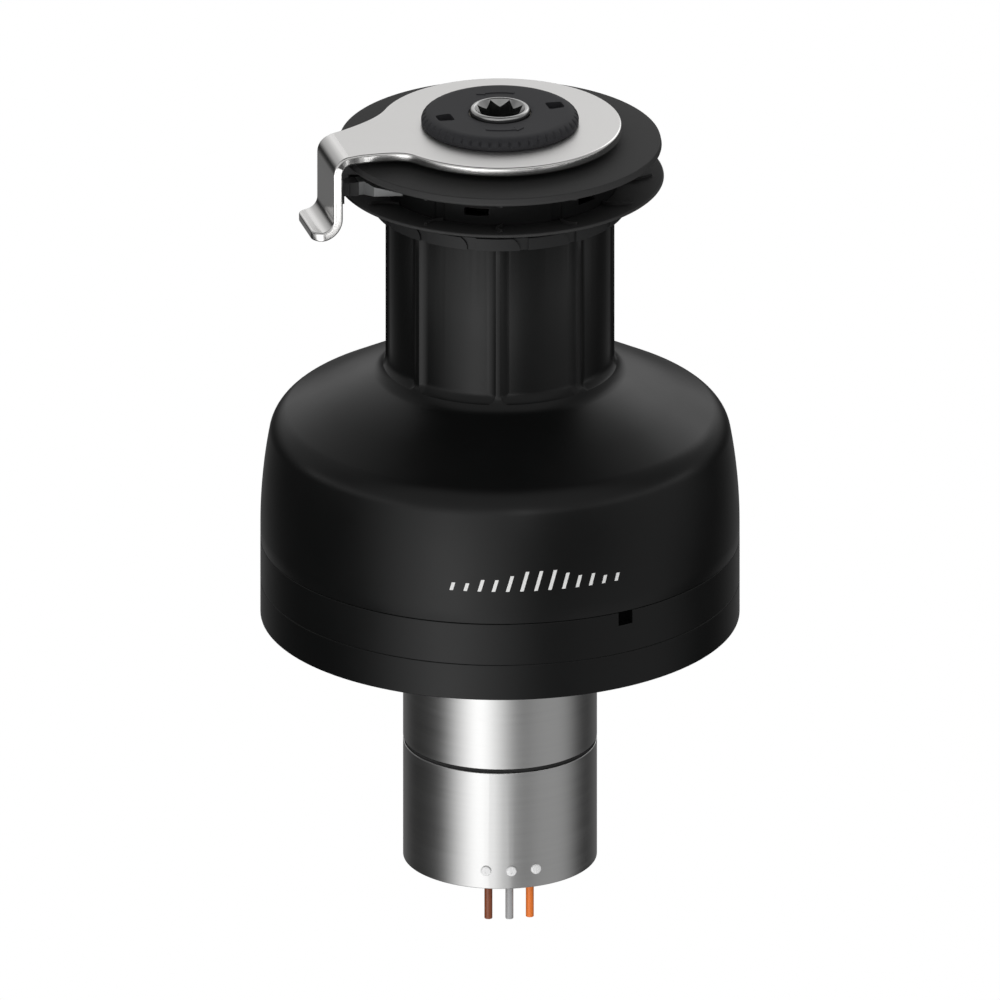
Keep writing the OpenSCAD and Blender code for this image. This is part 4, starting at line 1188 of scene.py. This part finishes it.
@dataclass
class RopeJaws:
    """The notched carrier and the two rope jaws with their curved grip ribs."""

    core_r: float = 58.5
    core_top: float = 244.0
    carrier_rim_r: float = 57.8
    foot_z: float = 227.6
    collar_z: float = 229.7
    root_z: float = 231.3
    gap: float = 0.3
    collar: float = 2.8
    web: float = 6.0
    lip: float = 0.6
    dish: float = 4.2
    upper_dish: float = 6.2
    lower_r: float = 82.0
    upper_r: float = 81.0
    bore_r: float = 46.0
    hub_h: float = 11.2
    arm_ring_r: float = 61.0
    dome_r: float = 300.8
    dome_drop: float = 290.0
    dome_from: float = 86.3
    grips: int = 12
    grip_h: float = 1.3
    grip_sink: float = 0.8
    grip_centre: Point = (9.0, 15.0)
    grip_foot: Point = (15.6, 17.2)
    grip_crest: Point = (15.8, 17.0)
    grip_from: float = -122.0
    grip_sweep: float = 62.0
    spring_keep: float = 0.31
    steps: int = 160

    def grip_ribs(self, root: float, slope: float, side: float) -> Mesh:
        """Makes the ring of curved grip ribs of one jaw.

        Args:
            root: The jaw's face height at the core, in millimetres.
            slope: Rise of the face for each millimetre outwards.
            side: 1 where the ribs stand on the face, or -1 where they hang from it.

        Returns:
            The ribs' mesh.
        """
        bm = bmesh.new()
        centre = Vector((self.core_r + self.grip_centre[0], self.grip_centre[1], 0.0)) * MM
        low, high = -self.grip_sink * side * MM, self.grip_h * side * MM
        start = [(self.grip_foot[0], low), (self.grip_foot[1], low),
                 (self.grip_crest[1], high), (self.grip_crest[0], high)]
        face = bm.faces.new([bm.verts.new((centre.x + r * MM, centre.y, z)) for r, z in start])
        turn = Matrix.Rotation(math.radians(self.grip_from), 3, "Z")
        bmesh.ops.rotate(bm, verts=bm.verts, cent=centre, matrix=turn)
        bmesh.ops.spin(bm, geom=[face, *face.edges, *face.verts], cent=centre, axis=(0, 0, 1),
                       dvec=(0, 0, 0), angle=math.radians(self.grip_sweep), steps=12,
                       use_merge=False, use_duplicate=False)
        for v in bm.verts:
            v.co.z += (root + slope * (v.co.xy.length / MM - self.core_r)) * MM
        face_outwards(bm)
        soften(bm, 0.25)
        repeat_round(bm, self.grips)
        return bm

    def lower(self) -> None:
        """Builds the sprung lower jaw, with the collar that slides on the carrier."""
        rim, r, out = self.root_z + self.dish, self.core_r, self.lower_r
        bm = lathe([(r + self.gap, self.foot_z), (r + self.collar, self.foot_z),
                    (r + self.collar, self.collar_z), (r + self.web, self.collar_z),
                    (out - 0.9, rim - 2.0), (out, rim - 1.2), (out, rim - 0.5),
                    (out - self.lip, rim), (r + self.gap, self.root_z)], self.steps)
        soften(bm, 0.3, 2, 30.0)
        bm = joined(bm, self.grip_ribs(self.root_z, self.dish / (out - self.lip - r), 1.0))
        Piece("lower_rope_jaw", "lower_jaw_unit", JAW_GREY, ("lower_jaw",)).place(bm)

    def upper(self) -> None:
        """Builds the upper jaw, dished above and ribbed below."""
        top, r, out = self.core_top, self.core_r, self.upper_r
        dome = arc((self.arm_ring_r, top - self.dome_drop), self.dome_r, self.dome_from, 90.0, 12)
        bm = lathe([(self.bore_r, top), (r, top), (out - self.lip, top + self.upper_dish),
                    (out, top + 7.4), (out - 0.3, top + 8.6), *dome,
                    (self.bore_r, top + self.hub_h)], self.steps)
        soften(bm, 0.5, 3, 30.0)
        bm = joined(bm, self.grip_ribs(top, self.upper_dish / (out - self.lip - r), -1.0))
        Piece("upper_rope_jaw", "drum_unit", JAW_GREY, ("upper_jaw",)).place(bm)

    def spring(self) -> None:
        """Builds the wave spring that the lower jaw presses on, on a mesh of its own."""
        made = Piece("jaw_wave_spring", "drum_unit", STEEL, ("jaw_spring",)).place(recast("jaw_spring"))
        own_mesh(made)

    def outside(self, edge: Edge) -> bool:
        """Tells whether an edge of the carrier lies on its rim."""
        return min(v.co.xy.length for v in edge.verts) > self.carrier_rim_r * MM

    def build(self) -> None:
        """Builds the carrier, both jaws and the spring under the lower one."""
        bm = recast("jaw_carrier")
        soften(bm, 0.2, 2, 40.0, self.outside)
        # The carrier under the jaws wears the darker copy of the jaw plastic, as painted shade.
        Piece("jaw_carrier_ring", "drum_unit", CARRIER_PAINTED_SHADE, ("jaw_carrier",)).place(bm)
        self.lower()
        self.upper()
        self.spring()


# Feeder arm


@dataclass
class FeederArm:
    """The polished arm: a ring under the cap, a bend, a hanging plate and an outward hook."""

    ring_r: float = 61.0
    hole_r: float = 24.05
    thick: float = 4.8
    base_z: float = 258.2
    reach: float = 92.7
    heading: float = 194.0
    bend_r: float = 8.5
    hook_r: float = 6.5
    hook_z: float = 219.2
    lip: float = 4.0
    left_w: float = -6.9
    right_w: float = 28.6
    rim: float = 1.1
    front_corner: float = 6.5
    back_corner: float = 6.0
    ring_span: Point = (33.0, 328.0)
    near_side: tuple[Point, Point] = ((57.3, -23.4), (68.0, -15.5))
    far_w: float = 25.6
    far_blend: Point = (54.5, 28.2)
    cut_half: float = 9.0
    root_v: float = 17.5
    clip_u: float = 79.6
    clip_z: float = 242.0
    clip_half: Point = (2.3, 3.6)
    clip_span: Point = (-0.3, 0.7)
    clip_rim: float = 1.0
    clip_deep: float = 0.4
    dark_from: float = 77.3
    body: str = "deck_unit"

    def lengths(self) -> list[float]:
        """Works out the developed lengths along the arm.

        Returns:
            Where the bend, the plate, the hook and the lip begin, and where the lip ends.
        """
        bend = self.reach - self.bend_r
        plate = bend + math.pi / 2 * (self.bend_r - self.thick / 2)
        hook = plate + (self.base_z + self.thick - self.bend_r) - (self.hook_z + self.thick + self.hook_r)
        lip = hook + math.pi / 2 * (self.hook_r + self.thick / 2)
        return [bend, plate, hook, lip, lip + self.lip]

    def plan(self) -> list[Point]:
        """Draws the arm's flat pattern, with its heading along +X.

        Returns:
            The pattern's points.
        """
        bend, end = self.lengths()[0], self.lengths()[4]
        edge, back, front, far = bend + 2.0, self.back_corner, self.front_corner, self.far_w
        points = arc((0, 0), self.ring_r, *self.ring_span, 96)
        points += cubic([points[-1], *self.near_side, (edge, self.left_w)], 18)[1:]
        points += arc((end - back, self.left_w + back), back, -90.0, 0.0, 12)
        points += arc((end - front, self.right_w - front), front, 0.0, 90.0, 12)
        points += cubic([(edge + 4.0, self.right_w), (edge - 4.0, far + 1.0), (80.0, far), (76.0, far)], 10)
        points += cubic([(72.0, far), (58.5, far), self.far_blend, points[0]], 14)[:-1]
        return points

    def bent(self, place: Vector) -> Vector:
        """Moves a point of the flat slab to its place on the bent arm.

        Args:
            place: The point on the slab, in metres, with its height above the slab's middle.

        Returns:
            The point on the bent arm, before the arm is turned to its heading.
        """
        s, v, w = place.x / MM, place.y, place.z / MM
        bend, plate, hook, lip, _ = self.lengths()
        top, half = self.base_z + self.thick, self.thick / 2
        if s <= bend:
            u, z = s, top - half + w
        elif s <= plate:
            radius = self.bend_r - half
            turn = (s - bend) / radius
            u = bend + (radius + w) * math.sin(turn)
            z = top - self.bend_r + (radius + w) * math.cos(turn)
        elif s <= hook:
            u, z = self.reach - half + w, top - self.bend_r - (s - plate)
        else:
            radius = self.hook_r + half
            turn = min((s - hook) / radius, math.pi / 2)
            u = self.reach + self.hook_r - (radius - w) * math.cos(turn) + max(s - lip, 0.0)
            z = self.hook_z + self.thick + self.hook_r - (radius - w) * math.sin(turn)
        return Vector((u * MM, v, z * MM))

    def cuts(self) -> list[float]:
        """Returns the developed lengths at which the slab is divided so that it can bend.

        Returns:
            The lengths in order, in millimetres.
        """
        bend, plate, hook, lip, _ = self.lengths()
        found = [bend + (plate - bend) * i / 10 for i in range(11)]
        found += [plate + (hook - plate) * i / 4 for i in range(1, 4)]
        found += [hook + (lip - hook) * i / 12 for i in range(13)]
        return sorted(found)

    def plate(self) -> None:
        """Makes the flat slab, rounds its rim and bends it."""
        half, cut = self.thick / 2, self.cut_half
        hole = lathe([(0.0, -cut), (self.hole_r, -cut), (self.hole_r, cut), (0.0, cut)], 96)
        bm = carved(raised(self.plan(), -half, half), hole)
        rim = [e for e in bm.edges if e.calc_face_angle(0.0) > 1.0
               and e.verts[0].co.xy.length > 30 * MM and is_level(e)]
        round_edges(bm, rim, self.rim, 5)
        for s in self.cuts():
            slice_mesh(bm, (s * MM, 0, 0), (1, 0, 0))
        for v in bm.verts:
            v.co = self.bent(v.co)
        turn = Matrix.Rotation(math.radians(self.heading), 3, "Z")
        bmesh.ops.rotate(bm, verts=bm.verts, cent=(0, 0, 0), matrix=turn)
        face_outwards(bm)
        for face in bm.faces:
            face.material_index = int(abs(face.normal.z) > 0.999)
        Piece("feeder_arm_plate", self.body, POLISHED, ("feeder_arm",), second=SATIN_FACE).place(bm)

    def finger(self, heading: Matrix) -> None:
        """Builds the stripper's grey finger, with the darker jaw plastic on its root: the clip's own colour
        under the clip, and painted shadow between the clip and the hanging plate.

        Args:
            heading: The turn from +X to the arm's heading.
        """
        along = heading @ Vector((1.0, 0.0, 0.0))
        bm = recast("stripper")
        soften(bm, 0.35, 2, 30.0)
        slice_mesh(bm, along * self.dark_from * MM, along)
        # Faces past dark_from, under the clip and out to the hanging plate, take the jaw plastic: painted
        # shadow next to the plate.
        for face in bm.faces:
            face.material_index = int(face.calc_center_median().dot(along) > self.dark_from * MM)
        Piece("stripper_finger", self.body, STRIPPER_GREY, ("stripper",), second=JAW_GREY).place(bm)

    def clip(self, heading: Matrix) -> None:
        """Builds the square clip on the stripper's root.

        Args:
            heading: The turn from +X to the arm's heading.
        """
        u, v = self.clip_half
        bm = raised([(-u, -v), (u, -v), (u, v), (-u, v)], *self.clip_span)
        outer = max(bm.faces, key=lambda f: f.calc_center_median().z)
        bmesh.ops.inset_region(bm, faces=[outer], thickness=self.clip_rim * MM, depth=-self.clip_deep * MM)
        soften(bm, 0.2, 2, 50.0)
        stand = Matrix.Translation(Vector((self.clip_u, self.root_v, self.clip_z)) * MM)
        upright = Matrix.Rotation(math.radians(-90), 4, "X")
        bmesh.ops.transform(bm, matrix=heading @ stand @ upright, verts=bm.verts)
        Piece("stripper_clip", self.body, JAW_GREY).place(bm)

    def build(self) -> None:
        """Builds the arm and its stripper."""
        heading = Matrix.Rotation(math.radians(self.heading), 4, "Z")
        self.plate()
        self.finger(heading)
        self.clip(heading)


# Cap and socket


@dataclass
class CapAndSocket:
    """The knurled cap with its slots and turn marks, and the bright handle socket in its middle."""

    cap_r: float = 39.5
    cap_z: float = 263.0
    cap_top: float = 269.3
    neck_r: float = 24.05
    neck_top: float = 268.0
    knurls: int = 48
    knurl_deep: float = 0.9
    knurl_middle: float = 0.60
    knurl_half: float = 0.30
    slots: tuple[Point, Point] = ((-27.7, -8.4), (27.6, 8.4))
    slot_deep: float = 3.2
    slot_corner: float = 1.5
    marks: Point = (-84.0, 96.0)
    mark_r: Point = (24.6, 26.4)
    mark_span: Point = (-22.0, 12.0)
    arrow_head: tuple[Point, Point, Point] = ((28.0, 12.0), (25.5, 22.0), (23.0, 12.0))
    socket_r: float = 15.0
    flats: float = 17.46
    socket_top: float = 271.5
    socket_floor: float = 233.5
    floor_t: float = 4.0
    lip_r: float = 1.5
    star_rim: float = 8.6

    def blank(self) -> Mesh:
        """Spins the cap and presses the knurls into its rim.

        Returns:
            The cap's mesh, before its slots are cut.
        """
        r, z0, z1 = self.cap_r, self.cap_z, self.cap_top
        shoulder = cubic([(r, z0 + 2.0), (r, z0 + 4.7), (r - 2.6, z1), (r - 6.0, z1)], 16)
        bm = lathe([(self.neck_r, z0), (r - 1.0, z0), (r - 0.45, z0 + 0.25), (r - 0.1, z0 + 0.8), *shoulder,
                    (self.socket_r + 2.4, z1), (self.socket_r + 0.7, z1 - 0.5),
                    (self.socket_r + 0.7, self.neck_top), (self.neck_r, self.neck_top)], self.knurls * 10)
        for v in bm.verts:
            radius = v.co.xy.length / MM
            phase = math.atan2(v.co.y, v.co.x) * self.knurls
            groove = max(0.0, math.cos(phase)) ** 2.5
            height = (v.co.z / MM - z0) / (z1 - z0)
            share = max(0.0, 1.0 - ((height - self.knurl_middle) / self.knurl_half) ** 2)
            if radius > r - 4.0:
                v.co.xy *= 1.0 - groove * share * self.knurl_deep / radius
                v.co.z -= groove * share * self.knurl_deep * 0.5 * MM
        return bm

    def slot_cutter(self, u: float, w: float) -> Mesh:
        """Makes the cutter of one wrench slot.

        Args:
            u: Its place along X, in millimetres.
            w: Its place along Y, in millimetres.

        Returns:
            The cutter's mesh.
        """
        bm = raised([(-3.8, -4.0), (3.8, -4.0), (4.7, 4.2), (-4.7, 4.2)],
                    self.cap_top - self.slot_deep, self.cap_top + 2.0)
        round_edges(bm, [e for e in bm.edges if not is_level(e)], self.slot_corner, 5, clamp=False)
        turn = Matrix.Rotation(math.atan2(w, u) + math.pi / 2, 4, "Z")
        bmesh.ops.transform(bm, matrix=Matrix.Translation((u * MM, w * MM, 0.0)) @ turn, verts=bm.verts)
        return bm

    def turn_mark(self, middle: float) -> Mesh:
        """Makes one raised arrow that curves round the cap.

        Args:
            middle: The bearing of the arrow's middle, in degrees.

        Returns:
            The arrow's mesh.
        """
        inner, outer = self.mark_r
        tail, neck = middle + self.mark_span[0], middle + self.mark_span[1]
        head = [on_circle(r, middle + a) for r, a in self.arrow_head]
        bm = raised(arc((0, 0), outer, tail, neck, 16) + head + arc((0, 0), inner, neck, tail, 16),
                    self.cap_top - 0.2, self.cap_top + 0.45)
        soften(bm, 0.18)
        return bm

    def cap(self) -> None:
        """Builds the knurled cap."""
        bm = carved(self.blank(), joined(*[self.slot_cutter(u, w) for u, w in self.slots]))
        soften(bm, 0.3, 2, 50.0, lambda e: max(v.co.z for v in e.verts) > (self.cap_top - 0.1) * MM)
        bm = joined(bm, *[self.turn_mark(middle) for middle in self.marks])
        Piece("knurled_cap", "deck_unit", CAP_GREY, ("top_cap",)).place(bm)

    def star(self) -> list[Point]:
        """Returns the outline of the eight-point socket.

        Returns:
            Its points and notches by turns.
        """
        far = self.flats / math.sqrt(2.0)
        near = self.flats / 2.0 / math.cos(math.radians(22.5))
        points = []
        for k in range(8):
            points += [on_circle(far, 22.5 + 45.0 * k), on_circle(near, 45.0 + 45.0 * k)]
        return points

    def socket(self) -> None:
        """Builds the socket: a rounded lip that slopes inwards, and the star cut through the slope."""
        r, lip, foot = self.socket_r, self.lip_r, self.socket_floor - self.floor_t
        crest = arc((r - lip, self.socket_top - lip), lip, 0.0, 135.0, 14)
        seat = crest[-1][1] - (crest[-1][0] - self.star_rim)
        body = lathe([(0.0, foot), (r, foot), *crest, (self.star_rim, seat), (0.0, seat)], 96)
        bm = carved(body, raised(self.star(), self.socket_floor, self.socket_top + 2.0))
        soften(bm, 0.25, 2, 40.0, lambda e: all(v.co.z > (seat + 0.1) * MM for v in e.verts))
        Piece("handle_socket", "shaft_unit", SOCKET_METAL, ("handle_shaft",)).place(bm)

    def build(self) -> None:
        """Builds the cap and the socket."""
        self.cap()
        self.socket()


# Motor unit


@dataclass
class MotorUnit:
    """The two turned cans under the deck, with the seal between them and the end cap inside the rim."""

    radius: float = 48.5
    edge: float = 0.5
    small_edge: float = 0.2
    screw_r: float = 2.6
    screw_edge: float = 0.6
    screw_slot: Point = (0.3, 1.2)
    screw_angles: tuple[float, ...] = (-8.3, 6.7, 21.7)
    body: str = "deck_unit"

    def screw(self, bearing: float, height: float) -> Mesh:
        """Makes one small slotted screw on the can's side.

        Args:
            bearing: Its angle from the front towards +X, in degrees.
            height: Its height, in millimetres.

        Returns:
            The screw's mesh.
        """
        r, edge = self.screw_r, self.screw_edge
        u, v = self.screw_slot
        crown = arc((r - edge, 0.5), edge, 0.0, 80.0, 6)[1:]
        head = lathe([(0.0, -0.8), (r, -0.8), (r, 0.5), *crown, (0.0, 1.3)], 40)
        bm = carved(head, raised([(-u, -v), (u, -v), (u, v), (-u, v)], 0.8, 3.0))
        upright = Matrix.Rotation(math.radians(90), 4, "X")
        stand = Matrix.Translation((0.0, -self.radius * MM, height * MM)) @ upright
        bmesh.ops.transform(bm, matrix=Matrix.Rotation(math.radians(bearing), 4, "Z") @ stand, verts=bm.verts)
        return bm

    def on_rim(self, edge: Edge) -> bool:
        """Tells whether an edge runs round the outside of a can."""
        return min(v.co.xy.length for v in edge.verts) > (self.radius - 0.1) * MM and is_level(edge)

    def build(self) -> None:
        """Builds the cans, the end cap and the small screws."""
        bm = recast("gear_case")
        soften(bm, self.edge, 3, 50.0)
        Piece("gear_case_shell", self.body, CAN_METAL, ("gear_case",)).place(bm)
        bm = recast("motor_can")
        soften(bm, self.edge, 3, 50.0, self.on_rim)
        Piece("motor_can_shell", self.body, CAN_METAL, ("motor_can",)).place(bm)
        for node, finish in (("can_seal", SEAL_BLACK), ("end_cap", END_BLACK), ("cap_ring", STEEL),
                             ("wire_grommets", SEAL_BLACK)):
            bm = recast(node)
            soften(bm, self.small_edge, 2, 50.0)
            Piece(f"{node}_part", self.body, finish, (node,)).place(bm)
        low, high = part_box("phase_screws")
        height = (low[2] + high[2]) / 2 / MM
        screws = joined(*[self.screw(bearing, height) for bearing in self.screw_angles])
        Piece("phase_screw_set", self.body, BRIGHT_SCREW, ("phase_screws",)).place(screws)


# Inner pieces


@dataclass
class InnerPieces:
    """The pieces inside, which keep the frame's own meshes and get their finishes."""

    finishes: dict[str, Finish] = field(default_factory=lambda: {
        "centre_stem": ALLOY, "stem_bolts": STEEL, "idler_studs": STEEL, "thrust_washer": ACETAL,
        "stem_head": ALLOY, "stem_head_screws": STEEL, "ball_bearings": STEEL, "bearing_spacer": ACETAL,
        "handle_bush": ACETAL, "drum_ring_gear": GEAR_STEEL, "ring_gear_screws": STEEL,
        "carrier_screws": STEEL, "jaw_screws": STEEL, "bearing_rollers": STEEL,
        "roller_cages": ACETAL, "main_shaft": STEEL, "sun_gear": GEAR_STEEL, "ratchet_ring": GEAR_STEEL,
        "planet_carrier": ALLOY, "planet_pins": STEEL, "idler_gear_1": GEAR_STEEL,
        "idler_gear_2": GEAR_STEEL, "idler_gear_3": GEAR_STEEL, "pawl_1": GEAR_STEEL,
        "pawl_2": GEAR_STEEL, "pawl_springs": STEEL, "arm_spacer": JAW_GREY, "stripper_screw": STEEL,
        "gear_case_screws": STEEL, "planet_ring": GEAR_STEEL, "planet_gear_1": GEAR_STEEL,
        "planet_gear_2": GEAR_STEEL, "planet_gear_3": GEAR_STEEL, "motor_flange": ALLOY,
        "stator_core": IRON, "stator_coils": COPPER, "rotor": IRON})

    def build(self) -> None:
        """Dresses every inner piece."""
        for node, finish in self.finishes.items():
            dress(node, finish)


def main() -> None:
    """Builds the studio and the winch."""
    logging.basicConfig(level=logging.INFO, format="%(name)s: %(message)s")
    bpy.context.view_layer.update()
    Studio().build()
    for part in (PhaseWires(), DeckBase(), DrumBell(), RopeJaws(), FeederArm(), CapAndSocket(),
                 MotorUnit(), InnerPieces()):
        part.build()


if __name__ == "__main__":
    main()
